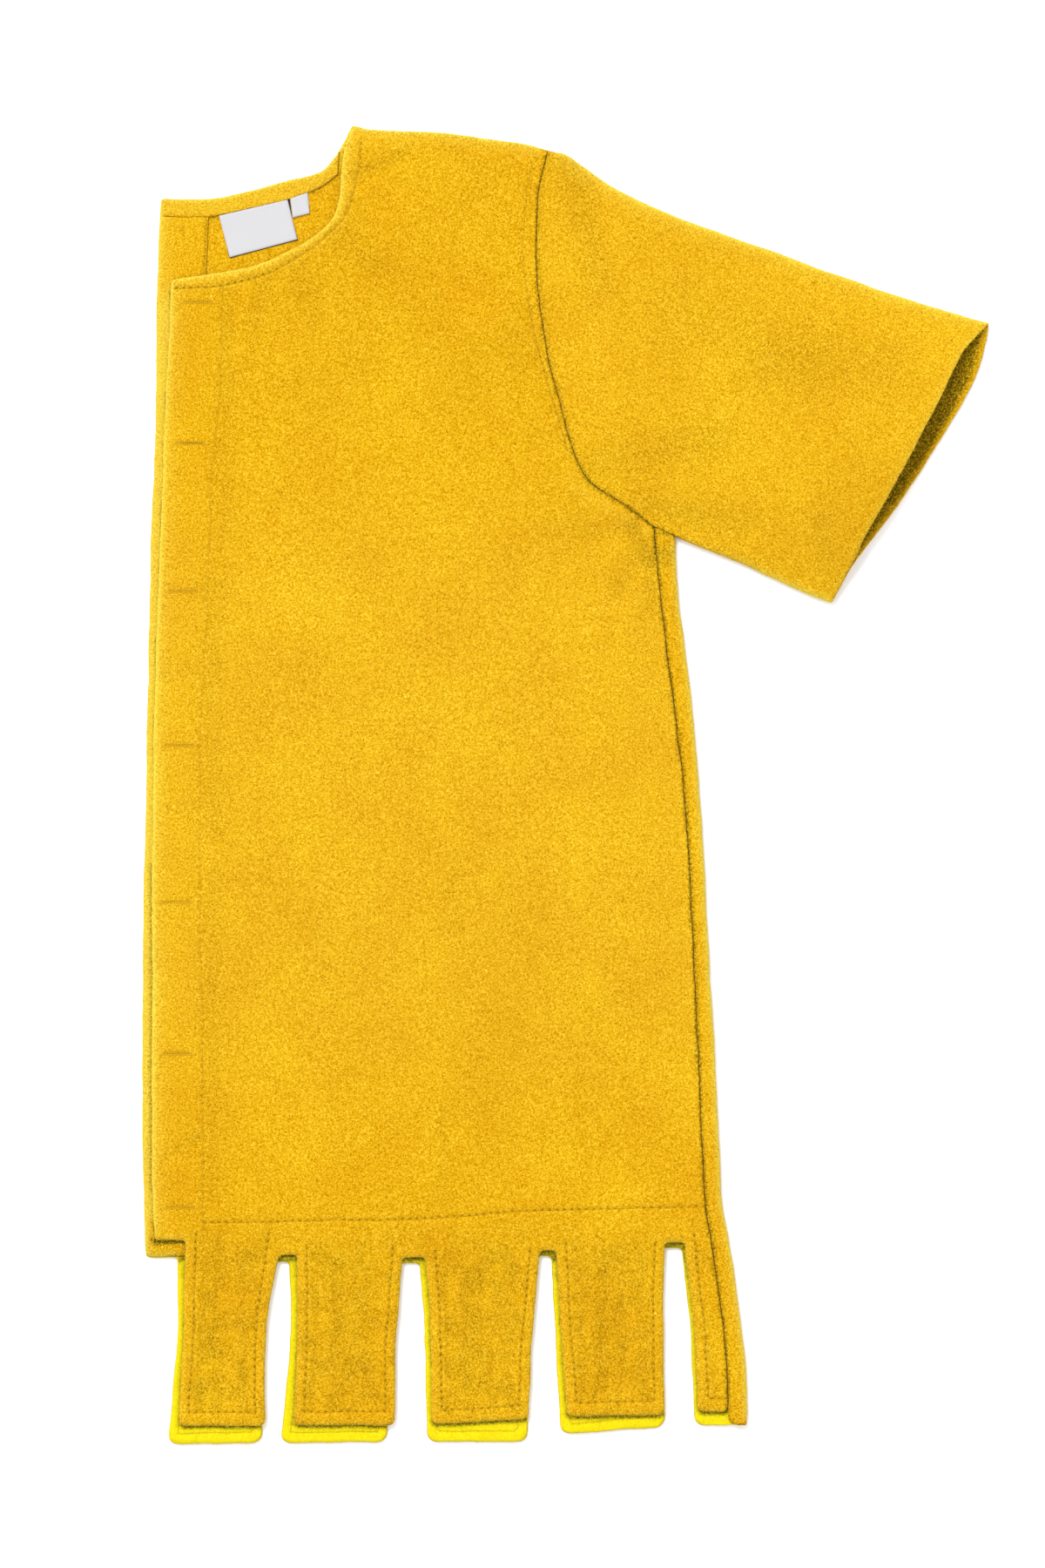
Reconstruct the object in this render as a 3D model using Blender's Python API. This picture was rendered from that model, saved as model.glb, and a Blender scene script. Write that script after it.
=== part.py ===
# Left half of a two-part medieval wool surcoat with tabs at its hem, laid flat on its back.
# The two halves button together at the centre front and the centre back; this half has the buttonholes.
# +X points to the garment's side and sleeve, +Y to its neck, +Z up. All sizes are in metres.
import math
from collections import namedtuple
from functools import lru_cache

import bmesh
import bpy
from mathutils import Vector

# Cloth and stacking
WOOL = 0.0018            # wall of the wool cloth
TURNED = 0.0026          # wall where the edge is turned in and faced
FACING = 0.0012          # wall of the facings and of the neck band
RIBBON = 0.0010          # wall of the label and the size tag
GAP = 0.0003             # clear space between two pieces
ROLL = 0.0031            # outer radius of the side fold and of the sleeve's two long edges
TOP = 2 * ROLL           # level of the upper layer's upper face at the edges
INNER = WOOL + GAP       # level of what lies on the back panel's inner face

# Mesh
CELL = 0.0195            # grid spacing over a panel
EDGE_STEP = 0.011        # spacing of points along a curved edge
ROLL_STEPS = 4           # facets round the side fold
CORNER = 0.0032          # rounding at the corners of the tabs

# Centre edge, side seam and side fold, a row for each section across the body
Section = namedtuple("Section", "y back_edge front_edge seam fold")
BODY = [
    Section(0.3575, -0.2467, -0.2392, 0.0520, 0.0660),
    Section(0.3071, -0.2488, -0.2400, 0.0520, 0.0660),
    Section(0.2181, -0.2497, -0.2441, 0.0520, 0.0660),
    Section(0.1571, -0.2525, -0.2465, 0.0541, 0.0668),
    Section(0.1179, -0.2531, -0.2480, 0.0575, 0.0682),
    Section(0.0914, -0.2536, -0.2488, 0.0604, 0.0716),
    Section(0.0379, -0.2549, -0.2504, 0.0676, 0.0782),
    Section(-0.0151, -0.2559, -0.2515, 0.0731, 0.0824),
    Section(-0.0946, -0.2576, -0.2518, 0.0778, 0.0867),
    Section(-0.1476, -0.2579, -0.2520, 0.0798, 0.0898),
    Section(-0.2059, -0.2579, -0.2520, 0.0827, 0.0930),
    Section(-0.2536, -0.2570, -0.2515, 0.0852, 0.0955),
    Section(-0.2775, -0.2557, -0.2499, 0.0888, 0.0994),
    Section(-0.3273, -0.2552, -0.2488, 0.0959, 0.1068),
    Section(-0.3691, -0.2552, -0.2488, 0.0988, 0.1105),
    Section(-0.4015, -0.2552, -0.2488, 0.0985, 0.1105),
]

# Curved edges, a row for each point the curve runs through
Point = namedtuple("Point", "x y")
FRONT_NECK = (
    Point(-0.2398, 0.3077), Point(-0.2160, 0.3114), Point(-0.1905, 0.3161), Point(-0.1683, 0.3252),
    Point(-0.1532, 0.3342), Point(-0.1420, 0.3453), Point(-0.1375, 0.3585), Point(-0.1365, 0.3718),
    Point(-0.1344, 0.3861), Point(-0.1301, 0.4004),
)
BACK_NECK = (
    Point(-0.2467, 0.3575), Point(-0.2170, 0.3575), Point(-0.1980, 0.3607), Point(-0.1693, 0.3681),
    Point(-0.1503, 0.3734), Point(-0.1439, 0.3782), Point(-0.1375, 0.3866), Point(-0.1338, 0.3941),
    Point(-0.1306, 0.4010),
)
BAND_EDGE = (
    Point(-0.2457, 0.3464), Point(-0.2170, 0.3464), Point(-0.1932, 0.3509), Point(-0.1688, 0.3567),
    Point(-0.1508, 0.3633), Point(-0.1385, 0.3722),
)
SHOULDER = (
    Point(-0.1301, 0.4015), Point(-0.1259, 0.4012), Point(-0.1200, 0.3995), Point(-0.0978, 0.3985),
    Point(-0.0739, 0.3969), Point(-0.0421, 0.3932), Point(-0.0231, 0.3898), Point(-0.0109, 0.3861),
)
FRONT_ARMHOLE = (
    Point(-0.0109, 0.3861), Point(-0.0162, 0.3612), Point(-0.0178, 0.3310), Point(-0.0162, 0.2976),
    Point(-0.0109, 0.2637), Point(-0.0024, 0.2287), Point(0.0034, 0.2075), Point(0.0114, 0.1889),
    Point(0.0204, 0.1805), Point(0.0318, 0.1733), Point(0.0421, 0.1662), Point(0.0538, 0.1571),
)
BACK_ARMHOLE = (
    Point(-0.0109, 0.3861), Point(-0.0140, 0.3612), Point(-0.0146, 0.3310), Point(-0.0050, 0.2637),
    Point(0.0119, 0.2048), Point(0.0321, 0.1757), Point(0.0538, 0.1571),
)
SLEEVE_TOP = (
    Point(-0.0109, 0.3861), Point(-0.0008, 0.3842), Point(0.0050, 0.3805), Point(0.0215, 0.3688),
    Point(0.0374, 0.3593), Point(0.0692, 0.3453), Point(0.1328, 0.3225), Point(0.1964, 0.2997),
    Point(0.2578, 0.2812),
)
UNDERARM = (
    Point(0.0538, 0.1571), Point(0.0676, 0.1511), Point(0.0851, 0.1439), Point(0.1169, 0.1306),
    Point(0.1487, 0.1158), Point(0.1619, 0.1110),
)
FRONT_CUFF = (
    Point(0.2578, 0.2812), Point(0.2435, 0.2658), Point(0.2364, 0.2536), Point(0.2242, 0.2292),
    Point(0.2011, 0.1858), Point(0.1826, 0.1529), Point(0.1768, 0.1394), Point(0.1619, 0.1110),
)
BACK_CUFF = (
    Point(0.2578, 0.2812), Point(0.2557, 0.2674), Point(0.2483, 0.2451), Point(0.2303, 0.2139),
    Point(0.2070, 0.1773), Point(0.1826, 0.1444), Point(0.1741, 0.1317), Point(0.1619, 0.1110),
)

# Tabs at the hem, a row for each tab from the centre edge to the side; the last one's right side is the
# side seam of the front or the side fold of the back
Tab = namedtuple("Tab", [
    "left_top", "left_mid", "left_low",
    "right_top", "right_mid", "right_low",
    "low_left", "low_right", "slit_top",
])
TAB_MIDDLE = -0.3331
FRONT_TABS = [
    Tab(-0.2313, -0.2327, -0.2356, -0.1746, -0.1823, -0.1826, -0.3898, -0.3898, -0.2769),
    Tab(-0.1635, -0.1635, -0.1656, -0.0988, -0.1028, -0.1036, -0.3893, -0.3893, -0.2859),
    Tab(-0.0851, -0.0824, -0.0816, -0.0151, -0.0201, -0.0225, -0.3888, -0.3861, -0.2875),
    Tab(-0.0056, -0.0029, 0.0005, 0.0602, 0.0596, 0.0604, -0.3840, -0.3829, -0.2833),
    Tab(0.0723, 0.0784, 0.0803, None, None, None, -0.3813, -0.3813, -0.2780),
]
BACK_TABS = [
    Tab(-0.2366, -0.2364, -0.2425, -0.1757, -0.1831, -0.1847, -0.4015, -0.4004, -0.2875),
    Tab(-0.1683, -0.1677, -0.1736, -0.0999, -0.1047, -0.1084, -0.4009, -0.3999, -0.2902),
    Tab(-0.0888, -0.0861, -0.0845, -0.0162, -0.0209, -0.0231, -0.3999, -0.3999, -0.2912),
    Tab(-0.0087, -0.0064, -0.0034, 0.0586, 0.0596, 0.0607, -0.3956, -0.3903, -0.2870),
    Tab(0.0708, 0.0761, 0.0782, None, None, None, -0.3898, -0.3893, -0.2817),
]

# Facings
PLACKET_WIDTH = 0.0300   # facing down the back's centre edge
EDGE_INSET = 0.0006      # a facing stops this far inside the edge it faces
HEM_LINE = -0.2610       # upper edge of the hem's facing
PLACKET_STITCH = 0.0330  # width of the front's turned strip
NECK_TURN = 0.0065       # width of the turned edge round the neck

# Buttonholes through the front's turned strip, a row for each
Buttonhole = namedtuple("Buttonhole", "x y")
BUTTONHOLES = (
    Buttonhole(-0.2234, 0.2939),
    Buttonhole(-0.2282, 0.2080),
    Buttonhole(-0.2329, 0.1179),
    Buttonhole(-0.2348, 0.0246),
    Buttonhole(-0.2369, -0.0708),
    Buttonhole(-0.2364, -0.1635),
    Buttonhole(-0.2343, -0.2568),
)
HOLE_LENGTH = 0.0180
HOLE_WIDTH = 0.0012

# Label and size tag: one corner, then the length and turn of the side that lies along the neck band
Ribbon = namedtuple("Ribbon", "name x y width height turn")
LABEL = Ribbon("label", -0.2110, 0.3469, 0.0428, 0.0264, 11.8)
SIZE_TAG = Ribbon("size_tag", -0.1681, 0.3560, 0.0108, 0.0120, 18.0)

# Soft folds of the upper layer, a row for each; a negative rise is a trough
Fold = namedtuple("Fold", "from_x from_y to_x to_y spread rise")
FOLDS = [
    Fold(-0.0951, 0.3380, -0.0474, 0.2764, 0.024, 0.0036),
    Fold(-0.0474, 0.2764, -0.0080, 0.1790, 0.021, 0.0042),
    Fold(0.0150, 0.3350, 0.0250, 0.2650, 0.017, -0.0014),
    Fold(-0.0700, -0.0400, -0.0740, -0.2300, 0.026, 0.0016),
    Fold(0.0250, 0.0900, 0.0350, -0.1200, 0.022, 0.0012),
    Fold(-0.1700, 0.2500, -0.1650, 0.0300, 0.028, 0.0012),
]
SAG = 0.0013             # how far the middle of a panel sinks below its thick edges
SHOULDER_FALL = 0.012    # width over which the front comes down to the shoulder seam

# Sleeve
SLEEVE_ACROSS = 13       # cells across each layer between its two rolled edges
SLEEVE_ALONG = 15        # cells from armhole to cuff
SLEEVE_ROLL_STEPS = 3    # facets in a quarter turn of a rolled edge
CUFF_RISE = 0.0150       # how far the upper layer stands up at the middle of the cuff
SLEEVE_FULL = 0.0048     # slight fullness along the whole sleeve

# Colours (linear red, green, blue) and roughness
WOOL_YELLOW = (0.870, 0.470, 0.012)
FACING_YELLOW = (0.900, 0.560, 0.010)
COTTON_YELLOW = (0.930, 0.740, 0.008)
RIBBON_WHITE = (0.800, 0.790, 0.800)


def smooth(value, low, high):
    """0 below low, 1 above high, and a smooth rise between them."""
    part = min(max((value - low) / (high - low), 0.0), 1.0)
    return part * part * (3 - 2 * part)


def curve_point(rows, place):
    """Point on the smooth curve through the rows; place counts rows from 0."""
    index = min(int(place), len(rows) - 2)
    part = place - index
    before = rows[max(index - 1, 0)]
    start = rows[index]
    end = rows[index + 1]
    after = rows[min(index + 2, len(rows) - 1)]
    made = []
    for a, b, c, d in zip(before, start, end, after):
        square = 2 * a - 5 * b + 4 * c - d
        cube = 3 * b - a - 3 * c + d
        made.append(0.5 * (2 * b + (c - a) * part + square * part ** 2 + cube * part ** 3))
    return tuple(made)


@lru_cache
def curve_lengths(rows, per_row=12):
    """Places along the curve with the length reached at each."""
    count = (len(rows) - 1) * per_row
    places = [(len(rows) - 1) * k / count for k in range(count + 1)]
    points = [curve_point(rows, place) for place in places]
    reached = [0.0]
    for first, second in zip(points, points[1:]):
        reached.append(reached[-1] + math.dist(first, second))
    return places, reached


def along(rows, part):
    """Point at this part, 0 to 1, of the curve's length."""
    places, reached = curve_lengths(rows)
    wanted = part * reached[-1]
    index = 0
    while index < len(reached) - 2 and reached[index + 1] < wanted:
        index += 1
    share = (wanted - reached[index]) / (reached[index + 1] - reached[index])
    return curve_point(rows, places[index] + share * (places[index + 1] - places[index]))


def edge(rows, step=EDGE_STEP):
    """Points about a step apart along the curve through the rows."""
    length = curve_lengths(rows)[1][-1]
    count = max(1, round(length / step))
    return [along(rows, k / count) for k in range(count + 1)]


def body(y, name):
    """Where one of the body's long edges lies at height y, on a smooth curve through the table."""
    held = min(max(y, BODY[-1].y), BODY[0].y)
    index = 0
    while index < len(BODY) - 2 and BODY[index + 1].y > held:
        index += 1

    def slope(row):
        above = BODY[max(row - 1, 0)]
        below = BODY[min(row + 1, len(BODY) - 1)]
        return (getattr(below, name) - getattr(above, name)) / (below.y - above.y)

    start = BODY[index]
    end = BODY[index + 1]
    span = end.y - start.y
    part = (held - start.y) / span
    low = getattr(start, name) * (1 + 2 * part) + span * slope(index) * part
    high = getattr(end, name) * (3 - 2 * part) - span * slope(index + 1) * (1 - part)
    return low * (1 - part) ** 2 + high * part ** 2


def body_edge(name, top, bottom, step=EDGE_STEP):
    """Points down one of the body's long edges."""
    count = max(1, round((top - bottom) / step))
    heights = [top + (bottom - top) * k / count for k in range(count + 1)]
    return [(body(y, name), y) for y in heights]


def moved(points, dx, dy):
    return [(x + dx, y + dy) for x, y in points]


def fold_distance(x, y, fold):
    """How far a point is from a fold's line."""
    dx = fold.to_x - fold.from_x
    dy = fold.to_y - fold.from_y
    part = ((x - fold.from_x) * dx + (y - fold.from_y) * dy) / (dx * dx + dy * dy)
    part = min(max(part, 0.0), 1.0)
    return math.hypot(x - fold.from_x - part * dx, y - fold.from_y - part * dy)


def folds_at(x, y):
    """Height that the soft folds give the upper layer."""
    return sum(fold.rise * math.exp(-(fold_distance(x, y, fold) / fold.spread) ** 2) for fold in FOLDS)


def shoulder_line(x):
    """Height of the shoulder seam above x."""
    for left, right in zip(SHOULDER, SHOULDER[1:]):
        if left.x <= x <= right.x:
            part = (x - left.x) / (right.x - left.x)
            return left.y * (1 - part) + right.y * part
    return SHOULDER[0].y if x < SHOULDER[0].x else SHOULDER[-1].y


@lru_cache
def neck_line():
    return edge(FRONT_NECK, 0.004)


def neck_distance(x, y):
    return min(math.dist((x, y), point) for point in neck_line())


def layer_level(x, y):
    """Level of the upper layer's upper face: thick edges, a slack middle and the soft folds."""
    strip = body(y, "back_edge") + PLACKET_STITCH
    inside = smooth(x, strip, strip + 0.035) * smooth(y, HEM_LINE + 0.004, HEM_LINE + 0.040)
    inside *= smooth(neck_distance(x, y), 0.012, 0.040)
    slack = SAG * (1 - smooth(x, body(y, "seam") - 0.045, body(y, "seam") - 0.010))
    return TOP + inside * (folds_at(x, y) - slack)


def front_face(x, y):
    """Level of the front's upper face, which comes down on the back at the shoulder seam."""
    level = layer_level(x, y)
    fall = 1 - smooth(shoulder_line(x) - y, 0.0, SHOULDER_FALL)
    return level - fall * (level - INNER - WOOL)


def front_wall(x, y):
    """Thickness of the front: more where its edge is turned in."""
    strip = body(y, "front_edge") + PLACKET_STITCH
    turned = max(1 - smooth(x, strip - 0.004, strip), 1 - smooth(y, HEM_LINE, HEM_LINE + 0.004))
    if y < shoulder_line(x) - SHOULDER_FALL:
        turned = max(turned, 1 - smooth(neck_distance(x, y), NECK_TURN, NECK_TURN + 0.004))
    return WOOL + (TURNED - WOOL) * turned


def cut_line(bm, axis, place):
    """Cut a flat sheet along a line square to an axis."""
    normal = Vector((0, 0, 0))
    normal[axis] = 1
    bmesh.ops.bisect_plane(bm, geom=bm.verts[:] + bm.edges[:] + bm.faces[:], dist=2e-4,
                           plane_co=normal * place, plane_no=normal)


def even_cuts(bm, axis, low, high):
    """Cut a flat sheet by lines a cell apart."""
    count = math.ceil((high - low) / CELL)
    for k in range(1, count):
        cut_line(bm, axis, low + (high - low) * k / count)


def cut_slot(bm, x, y, length, width):
    """Cut a narrow slot through a flat sheet."""
    reach = length / 2 + CELL
    sides = [
        ((x - length / 2, y, 0), (1, 0, 0)),
        ((x + length / 2, y, 0), (1, 0, 0)),
        ((x, y - width / 2, 0), (0, 1, 0)),
        ((x, y + width / 2, 0), (0, 1, 0)),
    ]

    def middle_within(face, dx, dy):
        middle = face.calc_center_median()
        return abs(middle.x - x) < dx and abs(middle.y - y) < dy

    def touches(face):
        return any(abs(v.co.x - x) < length / 2 + 1e-5 and abs(v.co.y - y) < reach for v in face.verts)

    for place, normal in sides:
        near = [f for f in bm.faces if touches(f) or middle_within(f, length / 2, CELL)]
        geom = list({item for f in near for item in [*f.verts, *f.edges, f]})
        bmesh.ops.bisect_plane(bm, geom=geom, dist=1e-6, plane_co=place, plane_no=normal)
    hole = [f for f in bm.faces if middle_within(f, length / 2, width / 2)]
    bmesh.ops.delete(bm, geom=hole, context="FACES")


def flat_sheet(outline, right=None, cells=True):
    """A flat sheet with this outline, cut into even cells up to right, or all of it."""
    bm = bmesh.new()
    bm.faces.new([bm.verts.new((x, y, 0)) for x, y in outline])
    if not cells:
        return bm
    xs = [x for x, y in outline]
    ys = [y for x, y in outline]
    even_cuts(bm, 0, min(xs), max(xs) if right is None else right)
    even_cuts(bm, 1, min(ys), max(ys))
    return bm


def thicken(bm, place):
    """Make a flat sheet a wall: place(x, y, side) gives a point of its lower (0) or upper (1) face."""
    lower = bm.verts[:]
    made = bmesh.ops.extrude_face_region(bm, geom=bm.faces[:])["geom"]
    upper = [item for item in made if isinstance(item, bmesh.types.BMVert)]
    for verts, side in ((lower, 0), (upper, 1)):
        for vert in verts:
            vert.co = place(vert.co.x, vert.co.y, side)
    bmesh.ops.recalc_face_normals(bm, faces=bm.faces[:])


def material(name, colour, roughness):
    made = bpy.data.materials.new(name)
    made.use_nodes = True
    shader = made.node_tree.nodes["Principled BSDF"]
    shader.inputs["Base Color"].default_value = (*colour, 1)
    shader.inputs["Roughness"].default_value = roughness
    shader.inputs["Metallic"].default_value = 0
    return made


def finish(bm, name, colour, roughness, collection):
    mesh = bpy.data.meshes.new(name)
    bm.to_mesh(mesh)
    bm.free()
    made = bpy.data.objects.new(name, mesh)
    collection.objects.link(made)
    mesh.materials.append(material(name, colour, roughness))
    mesh.shade_smooth()
    mesh.set_sharp_from_angle(angle=math.radians(40))
    return made


def rounded(points, corners, radius=CORNER):
    """The outline with these corners, by number, cut round."""
    made = []
    for index, point in enumerate(points):
        if index not in corners:
            made.append(point)
            continue
        here = Vector(point)
        back = (Vector(points[index - 1]) - here).normalized() * radius
        ahead = (Vector(points[(index + 1) % len(points)]) - here).normalized() * radius
        for turn in (0.0, 0.5, 1.0):
            made.append(tuple(here + back * (1 - turn) ** 2 + ahead * turn ** 2))
    return made


def side_of_tab(top, middle, low, top_y, low_y, steps=5):
    """Points down one side of a tab."""
    rows = [Point(top, top_y), Point(middle, TAB_MIDDLE), Point(low, low_y)]
    return [curve_point(rows, 2 * k / steps) for k in range(steps + 1)]


def hem(tabs, inset=0.0):
    """Outline of the tabs from the side to the centre edge, and the numbers of its corners."""
    made = []
    corners = []
    for index in range(len(tabs) - 1, -1, -1):
        tab = tabs[index]
        if tab.right_top is not None:
            top = tabs[index + 1].slit_top + inset
            right = side_of_tab(tab.right_top, tab.right_mid, tab.right_low, top, tab.low_right + inset)
            corners += [len(made), len(made) + len(right) - 1]
            made += moved(right, -inset, 0)
        top = tab.slit_top + inset
        left = side_of_tab(tab.left_top, tab.left_mid, tab.left_low, top, tab.low_left + inset)
        corners += [len(made), len(made) + len(left) - 1]
        made += reversed(moved(left, inset, 0))
    return made, corners


def sleeve_plan(across, station, armhole, cuff):
    """Point of one layer of the sleeve: across runs from its top edge down, station from armhole to cuff."""
    top = along(SLEEVE_TOP, station)
    bottom = along(UNDERARM, station)
    start = along(armhole, across)
    end = along(cuff, across)
    made = []
    for axis in (0, 1):
        lengthwise = start[axis] * (1 - station) + end[axis] * station
        crosswise = top[axis] * (1 - across) + bottom[axis] * across
        inner = armhole[0][axis] * (1 - across) + armhole[-1][axis] * across
        outer = cuff[0][axis] * (1 - across) + cuff[-1][axis] * across
        made.append(lengthwise + crosswise - inner * (1 - station) - outer * station)
    return made


def sleeve_shares(length, radius=ROLL):
    """Where the points of a layer lie across a section: a quarter turn at each edge, and cells between."""
    turns = [math.pi / 2 * k / SLEEVE_ROLL_STEPS for k in range(SLEEVE_ROLL_STEPS + 1)]
    rolled = [(ROLL - radius * math.cos(turn)) / length for turn in turns]
    level = [rolled[-1] + (1 - 2 * rolled[-1]) * k / SLEEVE_ACROSS for k in range(1, SLEEVE_ACROSS)]
    return rolled + level + [1 - share for share in reversed(rolled)]


def armhole_edge(armhole, dx):
    """The sleeve's own points along an armhole, moved away from it."""
    shares = sleeve_shares(curve_lengths(armhole)[1][-1])
    kept = [0.0] + shares[SLEEVE_ROLL_STEPS:-SLEEVE_ROLL_STEPS] + [1.0]
    return moved([along(armhole, share) for share in kept], dx, 0)


def puff(across, station):
    """How far the sleeve's upper layer stands above its rolled edges."""
    arch = math.sin(math.pi * min(max(across, 0.0), 1.0)) ** 1.3
    return arch * (SLEEVE_FULL * math.sin(math.pi * station) + CUFF_RISE * smooth(station, 0.40, 1.0))


def sleeve_ring(station, radius):
    """A section of the sleeve: its upper layer from the top edge to the underarm, then its lower layer."""
    upper = []
    lower = []
    layers = [(upper, FRONT_ARMHOLE, FRONT_CUFF, 1), (lower, BACK_ARMHOLE, BACK_CUFF, -1)]
    for points, armhole, cuff, side in layers:
        ends = [sleeve_plan(k / 8, station, armhole, cuff) for k in range(9)]
        length = sum(math.dist(a, b) for a, b in zip(ends, ends[1:]))
        shares = sleeve_shares(length, radius)
        for index, share in enumerate(shares):
            x, y = sleeve_plan(share, station, armhole, cuff)
            step = min(index, len(shares) - 1 - index, SLEEVE_ROLL_STEPS)
            turn = math.pi / 2 * step / SLEEVE_ROLL_STEPS
            level = ROLL + side * radius * math.sin(turn)
            if side > 0 and turn == math.pi / 2:
                near = 1 - smooth(station, 0.0, 0.30)
                level += near * (layer_level(x, y) - TOP) + puff(share, station)
            points.append(Vector((x, y, level)))
    return upper + lower[-2:0:-1]


def make_sleeve(collection):
    stations = [k / SLEEVE_ALONG for k in range(SLEEVE_ALONG + 1)]
    rings = [sleeve_ring(station, ROLL) for station in stations]
    rings += [sleeve_ring(station, ROLL - WOOL) for station in reversed(stations)]
    bm = bmesh.new()
    made = [[bm.verts.new(point) for point in ring] for ring in rings]
    for ring, after in zip(made, made[1:] + made[:1]):
        for index in range(len(ring)):
            bm.faces.new((ring[index - 1], ring[index], after[index], after[index - 1]))
    bmesh.ops.recalc_face_normals(bm, faces=bm.faces[:])
    return finish(bm, "sleeve", WOOL_YELLOW, 0.95, collection)


def make_front(collection):
    start = edge(FRONT_NECK, 0.008)[:-1] + edge(SHOULDER)[:-1] + armhole_edge(FRONT_ARMHOLE, -GAP)
    start += moved(body_edge("seam", start[-1][1] - EDGE_STEP / 2, FRONT_TABS[-1].low_left), -GAP, 0)
    tabs, corners = hem(FRONT_TABS)
    foot = FRONT_TABS[0].slit_top
    centre = body_edge("front_edge", FRONT_NECK[0].y - EDGE_STEP, foot)
    outline = start + tabs + list(reversed(centre))
    corners = [0, len(start) - 1, len(start + tabs)] + [corner + len(start) for corner in corners]
    bm = flat_sheet(rounded(outline, corners))
    for hole in BUTTONHOLES:
        cut_slot(bm, hole.x, hole.y, HOLE_LENGTH, HOLE_WIDTH)

    def place(x, y, side):
        top = front_face(x, y)
        return Vector((x, y, top if side else top - front_wall(x, y)))

    thicken(bm, place)
    return finish(bm, "front_panel", WOOL_YELLOW, 0.95, collection)


def underarm_line(x):
    """Height of the back's edge below the sleeve's underarm."""
    start = UNDERARM[0]
    end = UNDERARM[1]
    return start.y - 4 * GAP + (x - start.x) * (end.y - start.y) / (end.x - start.x)


def make_back(collection):
    # Worked out flat: distances from the side fold, with the turned-over strip carried on past it
    fold = body(UNDERARM[1].y, "fold")
    turn = math.pi * ROLL
    start = edge(BACK_NECK)[:-1] + edge(SHOULDER)[:-1] + armhole_edge(BACK_ARMHOLE, -GAP)
    start = [(x - body(y, "fold"), y) for x, y in start]
    start += [(-ROLL, underarm_line(fold - ROLL)), (-ROLL + turn / 2, underarm_line(fold)),
              (-ROLL + turn, underarm_line(fold - ROLL))]
    low = BACK_TABS[-1].low_right
    top = underarm_line(body(UNDERARM[0].y, "seam") + GAP)
    start += [(turn - 2 * ROLL + body(y, "fold") - x, y) for x, y in body_edge("seam", top, low)]
    tabs, corners = hem(BACK_TABS)
    centre = list(reversed(body_edge("back_edge", BACK_NECK[0].y - EDGE_STEP, BACK_TABS[0].slit_top)))
    outline = start + [(x - body(y, "fold"), y) for x, y in tabs + centre]
    corners = [0, len(start) - 1, len(start + tabs)] + [corner + len(start) for corner in corners]
    bm = flat_sheet(rounded(outline, corners), right=-ROLL)
    for k in range(ROLL_STEPS + 1):
        cut_line(bm, 0, -ROLL + turn * k / ROLL_STEPS)

    def place(across, y, side):
        fold = body(y, "fold")
        past = across + ROLL
        if past <= 0:
            return Vector((across + fold, y, side * WOOL))
        radius = ROLL - side * WOOL
        if past >= turn:
            return Vector((fold - ROLL - (past - turn), y, ROLL + radius))
        angle = past / ROLL
        return Vector((fold - ROLL + radius * math.sin(angle), y, ROLL - radius * math.cos(angle)))

    thicken(bm, place)
    return finish(bm, "back_panel", WOOL_YELLOW, 0.95, collection)


def make_facing(name, outline, corners, colour, roughness, collection):
    """A flat piece that lies on the back panel's inner face."""
    bm = flat_sheet(rounded(outline, corners, CORNER / 2), cells=False)
    thicken(bm, lambda x, y, side: Vector((x, y, INNER + side * FACING)))
    return finish(bm, name, colour, roughness, collection)


def make_facings(collection):
    upper = [(x, y - EDGE_INSET) for x, y in edge(BACK_NECK[:7])]
    upper[0] = (upper[0][0] + EDGE_INSET, upper[0][1])
    lower = list(reversed(edge(BAND_EDGE)))
    lower[-1] = (lower[-1][0] + EDGE_INSET, lower[-1][1])
    make_facing("back_neck_band", upper + lower, [], WOOL_YELLOW, 0.95, collection)

    top = BAND_EDGE[0].y - GAP
    foot = BACK_TABS[0].slit_top + EDGE_INSET + GAP
    outer = moved(body_edge("back_edge", top, foot), EDGE_INSET, 0)
    inner = moved(body_edge("back_edge", top, foot), PLACKET_WIDTH, 0)
    make_facing("back_placket_facing", outer + list(reversed(inner)), [], FACING_YELLOW, 0.9, collection)

    tabs, corners = hem(BACK_TABS, EDGE_INSET)
    side = moved(body_edge("fold", HEM_LINE, BACK_TABS[-1].low_left + EDGE_INSET), -ROLL - EDGE_INSET, 0)
    end = [
        (body(foot, "back_edge") + PLACKET_WIDTH + GAP, foot - GAP),
        (body(HEM_LINE, "back_edge") + PLACKET_WIDTH + GAP, HEM_LINE),
    ]
    make_facing("back_hem_facing", side + tabs + end, [corner + len(side) for corner in corners],
                COTTON_YELLOW, 0.8, collection)


def make_ribbon(ribbon, collection):
    """A small flat rectangle, its first corner where the table says, turned to lie along the neck band."""
    bm = bmesh.new()
    bmesh.ops.create_cube(bm, size=1.0)
    bmesh.ops.translate(bm, vec=(0.5, -0.5, 0.5), verts=bm.verts)
    bmesh.ops.scale(bm, vec=(ribbon.width, ribbon.height, RIBBON), verts=bm.verts)
    made = finish(bm, ribbon.name, RIBBON_WHITE, 0.6, collection)
    made.location = (ribbon.x, ribbon.y, INNER)
    made.rotation_euler = (0, 0, math.radians(ribbon.turn))
    return made


def main():
    for old in list(bpy.data.objects):
        bpy.data.objects.remove(old, do_unlink=True)
    collection = bpy.data.collections.new("surcoat_half")
    bpy.context.scene.collection.children.link(collection)
    make_back(collection)
    make_facings(collection)
    make_ribbon(LABEL, collection)
    make_ribbon(SIZE_TAG, collection)
    make_front(collection)
    make_sleeve(collection)


main()
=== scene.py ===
import math
import random
from bisect import bisect_left
from collections import namedtuple

import bmesh
import bpy
from mathutils import Matrix, Vector, noise
from mathutils.kdtree import KDTree


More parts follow.
